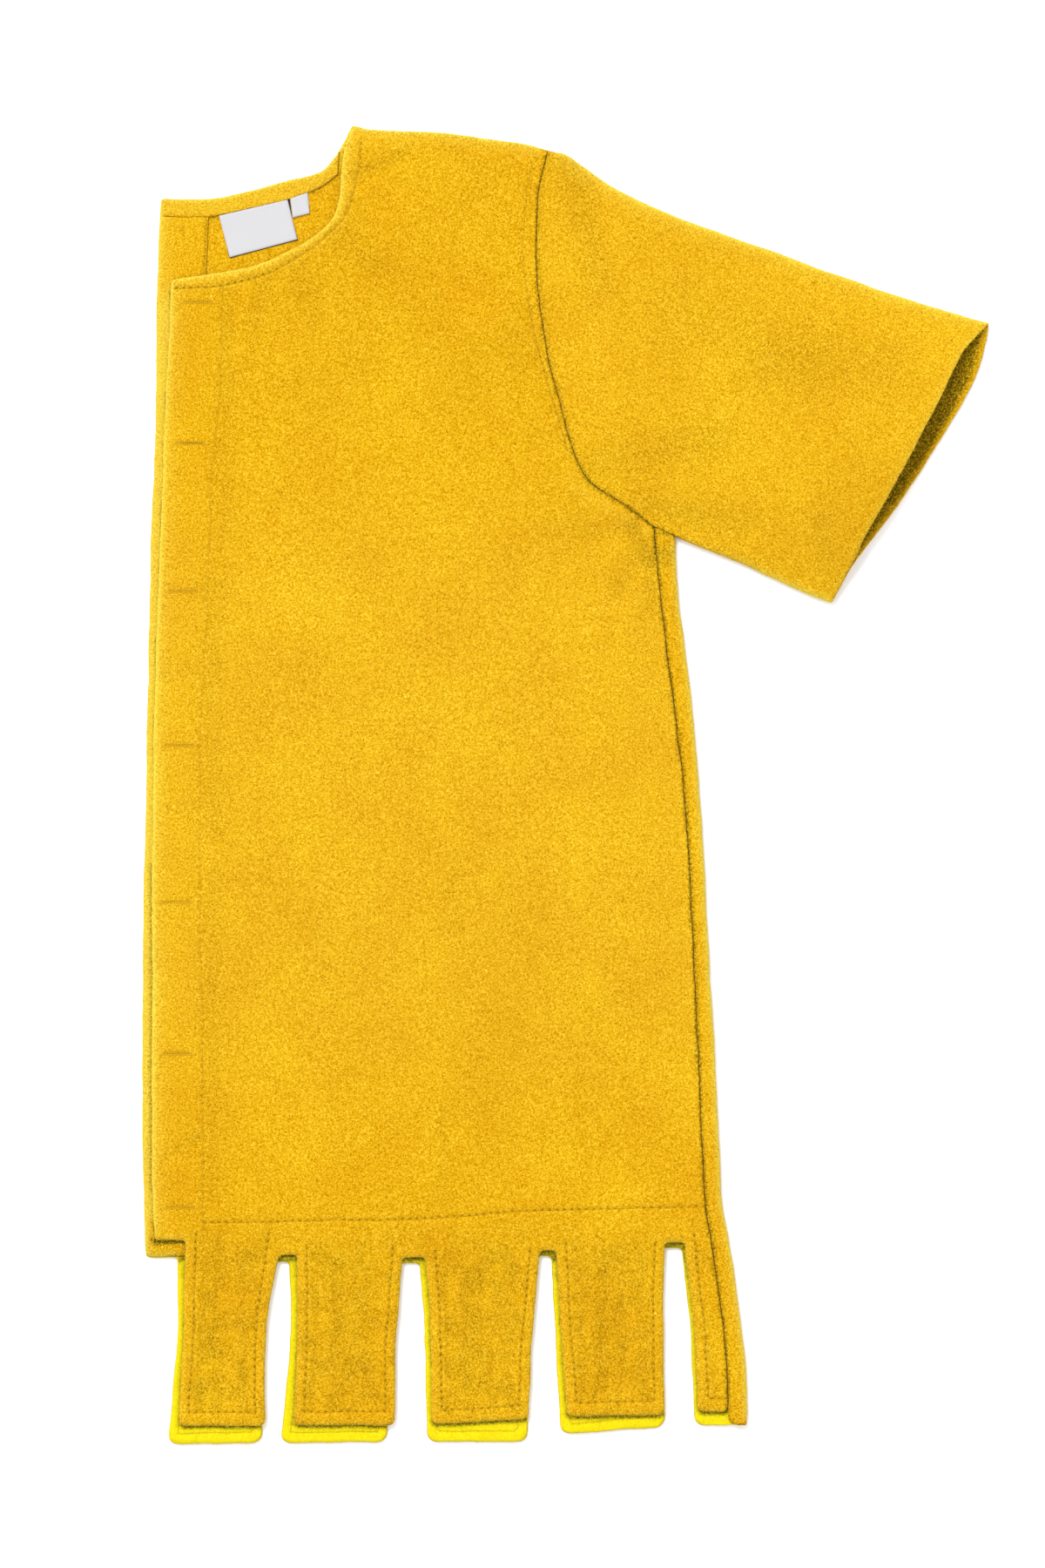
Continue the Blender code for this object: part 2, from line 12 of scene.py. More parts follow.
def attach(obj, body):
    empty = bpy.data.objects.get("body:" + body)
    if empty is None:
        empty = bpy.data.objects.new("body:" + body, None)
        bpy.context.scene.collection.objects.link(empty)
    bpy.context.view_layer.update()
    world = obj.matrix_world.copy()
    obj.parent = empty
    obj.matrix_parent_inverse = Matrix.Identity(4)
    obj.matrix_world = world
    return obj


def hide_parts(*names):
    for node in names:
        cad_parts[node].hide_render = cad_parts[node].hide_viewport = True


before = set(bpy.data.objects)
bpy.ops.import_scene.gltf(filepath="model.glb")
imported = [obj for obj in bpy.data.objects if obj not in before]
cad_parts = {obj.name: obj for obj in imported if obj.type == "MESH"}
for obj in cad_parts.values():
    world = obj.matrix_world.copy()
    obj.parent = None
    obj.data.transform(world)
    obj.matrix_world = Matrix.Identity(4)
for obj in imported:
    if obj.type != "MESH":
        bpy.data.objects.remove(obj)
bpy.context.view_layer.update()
random.seed(7)
print("surcoat: frame loaded")

# measures of the cut in metres, the same as the solids have
cut = {
    "wool": 0.0018,         # wall of the wool cloth
    "turned": 0.0026,       # wall where an edge is turned in
    "facing": 0.0012,
    "ribbon": 0.0010,
    "gap": 0.0003,          # clear space between two pieces
    "sewnGap": 0.00006,     # and between the edges of a seam
    "lap": 0.0007,          # the turned side strip reaches this far over the sleeve's rolled edge
    "wobble": 0.0006,
    "roll": 0.0031,         # outer radius of the side fold and of the sleeve's long edges
    "edgeInset": 0.0006,    # a facing stops this far inside its edge
    "hemLine": -0.2610,
    "strip": 0.0330,        # turned strip down the centre edge
    "placketFacing": 0.0300,
    "corner": 0.0030,       # rounding of the tabs' corners
    "frontFoot": 0.0044,    # and at their feet
    "backFoot": 0.0072,
    "cell": 0.0036,         # grid over a panel
    "edgeStep": 0.0028,     # points along an outline
}
top = 2 * cut["roll"]
inner = cut["wool"] + cut["gap"]

# lines of stitches
sewing = {
    "pitch": 0.0045,
    "stitch": 0.0031,
    "thread": 0.00026,      # radius
    "groove": 0.00035,
    "grooveWidth": 0.0012,
    "pit": 0.0005,          # depth of a needle hole below the groove
    "pitWidth": 0.0007,
    "puff": 0.00012,        # rise of the cloth beside a line
    "pucker": 0.00016,
    "sideInset": 0.0062,    # stitches round a tab, from its sides and its foot
    "footInset": 0.0085,
    "backSideInset": 0.0060,
    "backFootInset": 0.0068,
    "backPlacketInset": 0.0290,
}

# y, back edge, front edge, side seam, side fold
bodyRows = [
    (0.3575, -0.2467, -0.2392, 0.0520, 0.0660), (0.3071, -0.2488, -0.2400, 0.0520, 0.0660),
    (0.2181, -0.2497, -0.2441, 0.0520, 0.0660), (0.1571, -0.2525, -0.2465, 0.0541, 0.0668),
    (0.1179, -0.2531, -0.2480, 0.0575, 0.0682), (0.0914, -0.2536, -0.2488, 0.0604, 0.0716),
    (0.0379, -0.2549, -0.2504, 0.0676, 0.0782), (-0.0151, -0.2559, -0.2515, 0.0731, 0.0824),
    (-0.0946, -0.2576, -0.2518, 0.0778, 0.0867), (-0.1476, -0.2579, -0.2520, 0.0798, 0.0898),
    (-0.2059, -0.2579, -0.2520, 0.0827, 0.0930), (-0.2536, -0.2570, -0.2515, 0.0852, 0.0955),
    (-0.2775, -0.2557, -0.2499, 0.0888, 0.0994), (-0.3273, -0.2552, -0.2488, 0.0959, 0.1068),
    (-0.3691, -0.2552, -0.2488, 0.0988, 0.1105), (-0.4015, -0.2552, -0.2488, 0.0985, 0.1105),
]
backEdge, frontEdge, seam, fold = 1, 2, 3, 4

# curved edges, each through its points
curves = {
    "frontNeck": [
        (-0.2398, 0.3077), (-0.2160, 0.3114), (-0.1905, 0.3161), (-0.1683, 0.3252), (-0.1532, 0.3342),
        (-0.1420, 0.3453), (-0.1375, 0.3585), (-0.1365, 0.3718), (-0.1344, 0.3861), (-0.1301, 0.4004),
    ],
    "backNeck": [
        (-0.2467, 0.3575), (-0.2170, 0.3575), (-0.1980, 0.3607), (-0.1693, 0.3681), (-0.1503, 0.3734),
        (-0.1439, 0.3782), (-0.1375, 0.3866), (-0.1338, 0.3941), (-0.1306, 0.4010),
    ],
    "bandEdge": [
        (-0.2457, 0.3464), (-0.2170, 0.3464), (-0.1932, 0.3509), (-0.1688, 0.3567), (-0.1508, 0.3633),
        (-0.1385, 0.3722),
    ],
    "shoulder": [
        (-0.1301, 0.4015), (-0.1259, 0.4012), (-0.1200, 0.3995), (-0.0978, 0.3985), (-0.0739, 0.3969),
        (-0.0421, 0.3932), (-0.0231, 0.3898), (-0.0109, 0.3861),
    ],
    "frontArmhole": [
        (-0.0109, 0.3861), (-0.0162, 0.3612), (-0.0178, 0.3310), (-0.0162, 0.2976), (-0.0109, 0.2637),
        (-0.0024, 0.2287), (0.0034, 0.2075), (0.0114, 0.1889), (0.0204, 0.1805), (0.0318, 0.1733),
        (0.0421, 0.1662), (0.0538, 0.1571),
    ],
    "backArmhole": [
        (-0.0109, 0.3861), (-0.0140, 0.3612), (-0.0146, 0.3310), (-0.0050, 0.2637), (0.0119, 0.2048),
        (0.0321, 0.1757), (0.0538, 0.1571),
    ],
    "sleeveTop": [
        (-0.0109, 0.3861), (-0.0008, 0.3842), (0.0050, 0.3805), (0.0215, 0.3688), (0.0374, 0.3593),
        (0.0692, 0.3453), (0.1328, 0.3225), (0.1964, 0.2997), (0.2578, 0.2812),
    ],
    "underarm": [
        (0.0538, 0.1571), (0.0676, 0.1511), (0.0851, 0.1439), (0.1169, 0.1306), (0.1487, 0.1158),
        (0.1619, 0.1110),
    ],
    "frontCuff": [
        (0.2578, 0.2812), (0.2435, 0.2658), (0.2364, 0.2536), (0.2242, 0.2292), (0.2011, 0.1858),
        (0.1826, 0.1529), (0.1768, 0.1394), (0.1619, 0.1110),
    ],
    "backCuff": [
        (0.2578, 0.2812), (0.2557, 0.2674), (0.2483, 0.2451), (0.2303, 0.2139), (0.2070, 0.1773),
        (0.1826, 0.1444), (0.1741, 0.1317), (0.1619, 0.1110),
    ],
    "neckStitch": [
        (-0.1243, 0.3900), (-0.1253, 0.3787), (-0.1280, 0.3660), (-0.1328, 0.3490), (-0.1420, 0.3379),
        (-0.1569, 0.3252), (-0.1810, 0.3119), (-0.2091, 0.3045), (-0.2366, 0.3026),
    ],
    "placketStitch": [
        (-0.2091, 0.3030), (-0.2091, 0.2949), (-0.2107, 0.2366), (-0.2154, 0.1889), (-0.2181, 0.1174),
        (-0.2223, 0.0273), (-0.2223, -0.0946), (-0.2210, -0.1423), (-0.2210, -0.2748),
    ],
    "hemStitch": [
        (-0.2197, -0.2658), (-0.1450, -0.2645), (-0.0792, -0.2631), (-0.0262, -0.2589), (0.0586, -0.2568),
        (0.0840, -0.2560),
    ],
    "armholeStitch": [
        (-0.0178, 0.3808), (-0.0211, 0.3744), (-0.0252, 0.3479), (-0.0262, 0.3241), (-0.0209, 0.2838),
        (-0.0130, 0.2525), (-0.0050, 0.2240), (0.0010, 0.2040),
    ],
}

# the tabs from the centre edge: x of the left side at its top, middle and foot, the same of the right side,
# y of the foot at the left and right, and of the top of the slit at the left; None where the side ends a tab
frontTabs = [
    (-0.2313, -0.2327, -0.2356, -0.1746, -0.1823, -0.1826, -0.3898, -0.3898, -0.2769),
    (-0.1635, -0.1635, -0.1656, -0.0988, -0.1028, -0.1036, -0.3893, -0.3893, -0.2859),
    (-0.0851, -0.0824, -0.0816, -0.0151, -0.0201, -0.0225, -0.3888, -0.3861, -0.2875),
    (-0.0056, -0.0029, 0.0005, 0.0602, 0.0596, 0.0604, -0.3840, -0.3829, -0.2833),
    (0.0723, 0.0784, 0.0803, None, None, None, -0.3813, -0.3813, -0.2780),
]
backTabs = [
    (-0.2366, -0.2364, -0.2425, -0.1757, -0.1831, -0.1847, -0.4015, -0.4004, -0.2875),
    (-0.1683, -0.1677, -0.1736, -0.0999, -0.1047, -0.1084, -0.4009, -0.3999, -0.2902),
    (-0.0888, -0.0861, -0.0845, -0.0162, -0.0209, -0.0231, -0.3999, -0.3999, -0.2912),
    (-0.0087, -0.0064, -0.0034, 0.0586, 0.0596, 0.0607, -0.3956, -0.3903, -0.2870),
    (0.0708, 0.0761, 0.0782, None, None, None, -0.3898, -0.3893, -0.2817),
]
leftSide, rightSide, footLeft, footRight, slitTop = slice(0, 3), slice(3, 6), 6, 7, 8
tabMiddle = -0.3331


def rising(value, low, high):
    # 0 below low and 1 above high, with an even turn between them
    part = min(max((value - low) / (high - low), 0.0), 1.0)
    return part * part * (3 - 2 * part)


def falling(value, low, high):
    return 1 - rising(value, low, high)


def bump(distance, spread):
    return math.exp(-(distance / spread) ** 2)


def grain(x, y, acrossScale, alongScale, seed):
    # chance unevenness, from about -1 to 1
    return noise.noise((x * acrossScale, y * alongScale, seed))


def curvePoint(rows, place):
    index = min(int(place), len(rows) - 2)
    part = place - index
    before, start, end = rows[max(index - 1, 0)], rows[index], rows[index + 1]
    after = rows[min(index + 2, len(rows) - 1)]
    made = []
    for a, b, c, d in zip(before, start, end, after):
        square = 2 * a - 5 * b + 4 * c - d
        cube = 3 * b - a - 3 * c + d
        made.append(0.5 * (2 * b + (c - a) * part + square * part ** 2 + cube * part ** 3))
    return tuple(made)


def lengthsTo(points):
    # the line's length up to each of its points
    reached = [0.0]
    for first, second in zip(points, points[1:]):
        reached.append(reached[-1] + math.dist(first, second))
    return reached


def pointAt(points, reached, wanted):
    index = min(max(bisect_left(reached, wanted) - 1, 0), len(points) - 2)
    share = (wanted - reached[index]) / (reached[index + 1] - reached[index])
    return tuple(a + (b - a) * share for a, b in zip(points[index], points[index + 1]))


def spaced(points, step):
    # the same line with its points evenly spaced
    reached = lengthsTo(points)
    count = max(1, round(reached[-1] / step))
    return [pointAt(points, reached, reached[-1] * k / count) for k in range(count + 1)]


denseCurves = {}


def denseCurve(name):
    # a curve's points close together, and the length up to each of them
    if name not in denseCurves:
        rows = curves[name]
        count = (len(rows) - 1) * 12
        points = [curvePoint(rows, (len(rows) - 1) * k / count) for k in range(count + 1)]
        denseCurves[name] = (points, lengthsTo(points))
    return denseCurves[name]


def along(name, part):
    # the point at this part, 0 to 1, of a curve's length
    points, reached = denseCurve(name)
    return pointAt(points, reached, part * reached[-1])


def curveEdge(name, step=cut["edgeStep"]):
    count = max(1, round(denseCurve(name)[1][-1] / step))
    return [along(name, k / count) for k in range(count + 1)]


def bodyAt(y, column):
    held = min(max(y, bodyRows[-1][0]), bodyRows[0][0])
    index = 0
    while index < len(bodyRows) - 2 and bodyRows[index + 1][0] > held:
        index += 1

    def slope(row):
        above = bodyRows[max(row - 1, 0)]
        below = bodyRows[min(row + 1, len(bodyRows) - 1)]
        return (below[column] - above[column]) / (below[0] - above[0])

    start, end = bodyRows[index], bodyRows[index + 1]
    span = end[0] - start[0]
    part = (held - start[0]) / span
    low = start[column] * (1 + 2 * part) + span * slope(index) * part
    high = end[column] * (3 - 2 * part) - span * slope(index + 1) * (1 - part)
    return low * (1 - part) ** 2 + high * part ** 2


def bodyEdge(column, high, low, dx=0.0, step=cut["edgeStep"]):
    count = max(1, round((high - low) / step))
    heights = [high + (low - high) * k / count for k in range(count + 1)]
    return [(bodyAt(y, column) + dx, y) for y in heights]


def tabSides(tab, leftTop, rightTop, inset, footInset, steps=32):
    # a tab's left side, and its right one if it has any, from the top down and this far inside its edges
    made = []
    for xs, high, foot, inward in ((tab[leftSide], leftTop, tab[footLeft], inset),
                                   (tab[rightSide], rightTop, tab[footRight], -inset)):
        if xs[0] is not None:
            rows = list(zip(xs, (high, tabMiddle, foot + footInset)))
            side = [curvePoint(rows, 2 * k / steps) for k in range(steps + 1)]
            made.append([(x + inward, y) for x, y in side])
    return made


def hemOutline(tabs, inset=0.0):
    # the tabs from the side to the centre edge, with the numbers of their corners
    made, corners = [], []
    rightTop = None
    for tab in reversed(tabs):
        leftTop = tab[slitTop] + inset
        left, *right = tabSides(tab, leftTop, rightTop, inset, inset)
        for side in (*right, left[::-1]):
            corners += [len(made), len(made) + len(side) - 1]
            made += side
        rightTop = leftTop
    return made, corners


def rounded(points, corners, foot=cut["corner"]):
    # the outline with its corners rounded, those at the tabs' feet by their own radius
    made = []
    count = len(points)
    skip = set()
    radii = {c: foot if points[c][1] < tabMiddle else cut["corner"] for c in corners}
    for corner in corners:
        for direction in (-1, 1):
            step = direction
            while math.dist(points[(corner + step) % count], points[corner]) < radii[corner]:
                skip.add((corner + step) % count)
                step += direction
    for index, point in enumerate(points):
        if index in corners:
            here = Vector(point)
            ends = []
            for direction in (-1, 1):
                step = direction
                while (index + step) % count in skip:
                    step += direction
                ends.append((Vector(points[(index + step) % count]) - here).normalized() * radii[index])
            for k in range(8):
                turn = k / 7
                made.append(tuple(here + ends[0] * (1 - turn) ** 2 + ends[1] * turn ** 2))
        elif index not in skip:
            made.append(point)
    return made


# distance to a line, place along it in stitches, the line's number, the distance with a sign, which is
# plus on the line's left, and the direction to that left
nearest = namedtuple("nearest", "distance place number offset left")


def lineFinder(lines, spacing=0.0008):
    # find(x, y) gives what is nearest on these lines
    samples = []
    for number, line in enumerate(lines):
        points = [Vector(point) for point in spaced(line, spacing)]
        length = (points[1] - points[0]).length * (len(points) - 1)
        pitch = length / max(1, round(length / sewing["pitch"]))
        for k, point in enumerate(points):
            ahead = points[min(k + 1, len(points) - 1)] - points[max(k - 1, 0)]
            place = length * k / (len(points) - 1)
            samples.append((number, place, point, ahead.normalized(), 0 < k < len(points) - 1, pitch))
    tree = KDTree(len(samples))
    for index, sample in enumerate(samples):
        tree.insert((*sample[2], 0), index)
    tree.balance()

    def find(x, y):
        found, index, distance = tree.find((x, y, 0))
        number, place, point, ahead, within, pitch = samples[index]
        away = Vector((x, y)) - point
        offset = ahead.x * away.y - ahead.y * away.x
        left = Vector((-ahead.y, ahead.x))
        place = (place + ahead.dot(away)) / pitch
        return nearest(abs(offset) if within else distance, place, number, offset, left)

    return find


def rimFinder(outline, spacing=0.0012):
    return lineFinder([outline + outline[:1]], spacing)


def curveFinder(*names):
    return lineFinder([curveEdge(name, 0.002) for name in names])


# working flat: the sheet lies at z 0 to flatWall and each height there is a share of the wall
flatWall = 0.01


def cutAcross(bm, axis, place, geom=None, dist=1e-4):
    normal = Vector((0, 0, 0))
    normal[axis] = 1
    bmesh.ops.bisect_plane(bm, geom=geom or bm.verts[:] + bm.edges[:] + bm.faces[:], dist=dist,
                           plane_co=normal * place, plane_no=normal)


def flatSheet(outline, cell, right=None):
    bm = bmesh.new()
    bm.faces.new([bm.verts.new((x, y, 0)) for x, y in outline])
    for axis in (0, 1):
        low = min(point[axis] for point in outline)
        high = max(point[axis] for point in outline)
        if axis == 0 and right is not None:
            high = right
        count = math.ceil((high - low) / cell)
        for k in range(1, count):
            cutAcross(bm, axis, low + (high - low) * k / count)
    return bm


def cutSlot(bm, x, y, length, width):
    def within(face, dx, dy):
        middle = face.calc_center_median()
        return abs(middle.x - x) < dx and abs(middle.y - y) < dy

    near = 2 * cut["cell"]
    for axis, place in ((0, x - length / 2), (0, x + length / 2), (1, y - width / 2), (1, y + width / 2)):
        faces = [f for f in bm.faces if within(f, length / 2 + near, near)]
        geom = list(dict.fromkeys(item for f in faces for item in (*f.verts, *f.edges, f)))
        cutAcross(bm, axis, place, geom, 1e-6)
    bmesh.ops.delete(bm, geom=[f for f in bm.faces if within(f, length / 2, width / 2)], context="FACES")


def giveWall(bm):
    made = bmesh.ops.extrude_face_region(bm, geom=bm.faces[:])["geom"]
    for item in made:
        if isinstance(item, bmesh.types.BMVert):
            item.co.z = flatWall
    bmesh.ops.recalc_face_normals(bm, faces=bm.faces[:])
    rims = [e for e in bm.edges if abs(e.verts[0].co.z - e.verts[1].co.z) > flatWall / 2]
    bmesh.ops.subdivide_edges(bm, edges=rims, cuts=2, use_grid_fill=True)


def refine(bm, level, wanted):
    # halve the cells of one face of the sheet where wanted(x, y) holds
    edges = {}
    for face in bm.faces:
        middle = face.calc_center_median()
        if abs(middle.z - level) < 1e-5 and wanted(middle.x, middle.y):
            edges.update(dict.fromkeys(face.edges))
    bmesh.ops.subdivide_edges(bm, edges=list(edges), cuts=1, use_grid_fill=True)


def shapeSheet(bm, place, rim, rounding):
    # rounds the rims, then place(x, y, share) puts every point where it lies in the garment; the outline
    # runs clockwise, so that its left is outside
    bm.normal_update()
    inset = cut["wool"] * rounding
    moves = {}
    for vert in bm.verts:
        walls = [f.normal for f in vert.link_faces if abs(f.normal.z) < 0.5]
        found = rim(vert.co.x, vert.co.y)
        if walls:
            outward = sum(walls, Vector((0, 0, 0)))
            outward.z = 0
            # the face's edges draw in, the middle of the wall hardly does, and slots cut inside stay sharp
            share = abs(vert.co.z / flatWall - 0.5) * 2
            onRim = 1.0 if found.distance < 0.001 else 0.15
            moves[vert] = -outward.normalized() * inset * onRim * (1.0 if share > 0.9 else 0.12)
        elif found.distance < 3 * inset:
            moves[vert] = -found.left.to_3d() * inset * (1 - found.distance / (3 * inset)) ** 2
    for vert, move in moves.items():
        vert.co += move
    for vert in bm.verts:
        vert.co = place(vert.co.x, vert.co.y, vert.co.z / flatWall)


def paint(bm, name, worth):
    # a value for every point of the mesh, which the materials read by this name
    layer = bm.verts.layers.float.new(name)
    for vert in bm.verts:
        vert[layer] = worth(vert.co.x, vert.co.y)


def paintSeams(bm, finder, depths, fade=None):
    # how near a line of stitches is, the distance from it and the place along it
    names = ("seamNear", "seamOffset", "seamPlace")
    near, offset, place = (bm.verts.layers.float.new(name) for name in names)
    for vert in bm.verts:
        x, y, z = vert.co
        found = finder(x, y)
        depth = depths[min(found.number, len(depths) - 1)] * (fade(x, y) if fade else 1.0)
        depth *= 1 + 0.5 * grain(x, y, 60, 60, 1)
        vert[near] = depth * falling(found.distance, 0.0022, 0.0044)
        vert[offset] = found.offset
        vert[place] = found.place


def addToScene(name, data):
    made = bpy.data.objects.new(name, data)
    bpy.context.scene.collection.objects.link(made)
    return made


def wobble(x, y):
    # the slight unevenness of sewn edges, the same for all the pieces that lie on one another
    return Vector([cut["wobble"] * (grain(x, y, 48, 48, seed) + 0.45 * grain(x, y, 190, 190, seed + 10))
                   for seed in (20.4, 41.7)])


def makePiece(bm, name, material, slotName, nodes=()):
    bmesh.ops.triangulate(bm, faces=[f for f in bm.faces if len(f.verts) > 4])
    if slotName != "label_ribbon":
        for vert in bm.verts:
            vert.co.xy += wobble(vert.co.x, vert.co.y)
    mesh = bpy.data.meshes.new(name)
    bm.to_mesh(mesh)
    bm.free()
    piece = addToScene(name, mesh)
    mesh.materials.append(material)
    mesh.shade_smooth()
    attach(piece, "root")
    if nodes:
        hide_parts(*nodes)
    print("surcoat:", name, sum(len(face.vertices) - 2 for face in mesh.polygons), "triangles")
    return piece


def joinRings(bm, ring, after):
    for index in range(len(ring)):
        bm.faces.new((ring[index - 1], ring[index], after[index], after[index - 1]))


def finishSheet(bm, piece, place, rim, finer, masks, seams=None, rounding=0.36):
    # from the flat sheet to the piece: finer gives what is halved at which level, masks what is painted,
    # seams the lines of stitches and their depths
    giveWall(bm)
    for level, wanted in finer:
        refine(bm, level, wanted)
    for name, worth in masks.items():
        paint(bm, name, worth)
    if seams:
        paintSeams(bm, *seams)
    shapeSheet(bm, place, rim, rounding)
    return makePiece(bm, *piece)


# levels of the front's upper face; a fold runs from one point to another, with its spread and rise
frontRelief = {
    "sag": 0.0013,
    "shoulderFall": 0.012,
    "neckTurn": 0.0065,
    "wallStep": 0.004,      # the wall thins over this width beside a turned edge
    "folds": [
        (-0.0951, 0.3380, -0.0474, 0.2764, 0.024, 0.0036),
        (-0.0474, 0.2764, -0.0080, 0.1790, 0.021, 0.0042),
        (0.0150, 0.3350, 0.0250, 0.2650, 0.017, -0.0014),
        (-0.0700, -0.0400, -0.0740, -0.2300, 0.026, 0.0016),
        (0.0250, 0.0900, 0.0350, -0.1200, 0.022, 0.0012),
        (-0.1700, 0.2500, -0.1650, 0.0300, 0.028, 0.0012),
    ],
    "creases": [
        (-0.1240, 0.3705, -0.0970, 0.3835, 0.0048, -0.0012),
        (-0.1200, 0.3640, -0.0950, 0.3770, 0.0065, 0.0008),
        (-0.1350, 0.3330, -0.1130, 0.3120, 0.0090, -0.0008),
        (-0.1620, 0.3140, -0.1500, 0.2840, 0.0080, -0.0007),
        (-0.1815, 0.3060, -0.1935, 0.2740, 0.0060, -0.0008),
        (-0.1915, 0.2980, -0.1990, 0.2640, 0.0055, 0.0006),
        (-0.2035, 0.3000, -0.2050, 0.2600, 0.0038, -0.0007),
        (-0.2050, 0.2500, -0.2080, 0.1500, 0.0065, -0.0006),
        (-0.2120, 0.1200, -0.2150, -0.0300, 0.0065, -0.0006),
        (-0.2140, -0.0600, -0.2130, -0.2500, 0.0065, -0.0006),
        (-0.2430, -0.2270, -0.2234, -0.2150, 0.0034, -0.0009),
        (-0.2092, -0.2740, -0.2165, -0.3500, 0.0040, -0.0007),
        (-0.2040, -0.2780, -0.2100, -0.3400, 0.0050, 0.0004),
        (-0.1380, -0.2950, -0.1360, -0.3700, 0.0060, -0.0005),
        (-0.0560, -0.3000, -0.0580, -0.3650, 0.0060, -0.0005),
        (0.0250, -0.2950, 0.0230, -0.3600, 0.0060, -0.0004),
        (-0.2409, -0.0151, -0.2250, -0.0151, 0.0035, -0.0005),
        (-0.2440, 0.0650, -0.2290, 0.0690, 0.0050, -0.0004),
        (-0.0686, -0.0500, -0.0690, -0.0900, 0.0050, -0.0004),
        (-0.0739, -0.2000, -0.0742, -0.2560, 0.0050, -0.0005),
        (0.0400, 0.1575, 0.0170, 0.1530, 0.0052, -0.0010),
        (0.0415, 0.1540, 0.0520, 0.1370, 0.0046, -0.0019),
        (0.0480, 0.1400, 0.0330, 0.1180, 0.0060, -0.0010),
        (0.0520, 0.1330, 0.0530, 0.1060, 0.0045, -0.0010),
        (0.0400, 0.1450, 0.0220, 0.1310, 0.0045, 0.0008),
        (0.0440, 0.1260, 0.0380, 0.0950, 0.0050, 0.0007),
        (0.0230, 0.1690, -0.0150, 0.1600, 0.0080, 0.0007),
    ],
    "waves": 0.00035,
    "edgeRoll": 0.0009,     # how far the turned edges round off
    "tabHollow": 0.0012,    # the tabs' middles lie lower than their stitched edges
    "ripple": 0.00035,
    "ripplePitch": 0.0135,
    "stripPuff": 0.0003,
}


def lineDistance(x, y, line):
    dx, dy = line[2] - line[0], line[3] - line[1]
    part = ((x - line[0]) * dx + (y - line[1]) * dy) / (dx * dx + dy * dy)
    part = min(max(part, 0.0), 1.0)
    return math.hypot(x - line[0] - part * dx, y - line[1] - part * dy)


def foldsAt(x, y, folds):
    return sum(f[5] * bump(lineDistance(x, y, f), f[4]) for f in folds)


def waves(x, y, seed=0):
    # the slight unevenness of cloth that lies loose
    broad = grain(x, y, 17, 13, seed)
    return broad + 0.45 * grain(x, y, 52, 46, seed + 4) + 0.16 * grain(x, y, 190, 160, seed + 9)


neckFinder = curveFinder("frontNeck")
shoulderPoints = curveEdge("shoulder", 0.002)
shoulderPlaces = [x for x, y in shoulderPoints]


def shoulderAt(x):
    held = min(max(x, shoulderPlaces[0]), shoulderPlaces[-1])
    return pointAt(shoulderPoints, shoulderPlaces, held)[1]


def layerLevel(x, y):
    # the upper layer's face before its seams and creases, as the solids have it
    strip = bodyAt(y, backEdge) + cut["strip"]
    inside = rising(x, strip, strip + 0.035)
    inside *= rising(y, cut["hemLine"] + 0.004, cut["hemLine"] + 0.040)
    inside *= rising(neckFinder(x, y).distance, 0.012, 0.040)
    side = bodyAt(y, seam)
    slack = frontRelief["sag"] * falling(x, side - 0.045, side - 0.010)
    return top + inside * (foldsAt(x, y, frontRelief["folds"]) - slack)


def frontLevel(x, y):
    level = layerLevel(x, y)
    fall = falling(shoulderAt(x) - y, 0.0, frontRelief["shoulderFall"])
    return level - fall * (level - inner - cut["wool"])


def frontWall(x, y):
    strip = bodyAt(y, frontEdge) + cut["strip"]
    hem, step = cut["hemLine"], frontRelief["wallStep"]
    turned = max(falling(x, strip - step, strip), falling(y, hem, hem + step))
    if y < shoulderAt(x) - frontRelief["shoulderFall"]:
        turn = frontRelief["neckTurn"]
        turned = max(turned, falling(neckFinder(x, y).distance, turn, turn + step))
    return cut["wool"] + (cut["turned"] - cut["wool"]) * turned


def tabStitches(tabs, sideInset, footInset, lastSide):
    # a line down one side of each tab, across its foot and up the other side
    lines = []
    for tab in tabs:
        high = tab[slitTop] + 0.004
        line, *right = tabSides(tab, high, high, sideInset, footInset, 12)
        foot = line[-1][1]
        lines.append(line + (right[0][::-1] if right else [(bodyAt(foot, lastSide) - 0.001, foot)]))
    return lines


def threadShape(length, radius):
    # one stitch: a short thread whose ends dip into the cloth
    bm = bmesh.new()
    bmesh.ops.create_uvsphere(bm, u_segments=6, v_segments=6, radius=1,
                              matrix=Matrix.Rotation(math.pi / 2, 4, "Y"))
    for vert in bm.verts:
        x, y, z = vert.co
        vert.co = (x * length / 2, y * radius * 1.15, z * radius - abs(x) ** 3 * radius * 1.5)
    mesh = bpy.data.meshes.new("threadShape")
    bm.to_mesh(mesh)
    bm.free()
    return mesh


stitchShape = threadShape(sewing["stitch"], sewing["thread"])


def addStitch(bm, shape, x, y, z, angle, over=1, scale=1.0):
    # the new points are the last ones in the mesh
    before = len(bm.verts)
    bm.from_mesh(shape)
    bm.verts.ensure_lookup_table()
    matrix = Matrix.Translation((x, y, z)) @ Matrix.Rotation(angle, 4, "Z")
    matrix = matrix @ Matrix.Diagonal((scale, 1, over, 1))
    bmesh.ops.transform(bm, matrix=matrix, verts=bm.verts[before:])


def sewLine(bm, line, level, over=1):
    points = spaced(line, sewing["pitch"])
    for (x0, y0), (x1, y1) in zip(points, points[1:]):
        x, y = (x0 + x1) / 2, (y0 + y1) / 2
        turn = random.uniform(-0.05, 0.05)
        addStitch(bm, stitchShape, x, y, level(x, y), math.atan2(y1 - y0, x1 - x0) + turn, over,
                  random.uniform(0.92, 1.06))


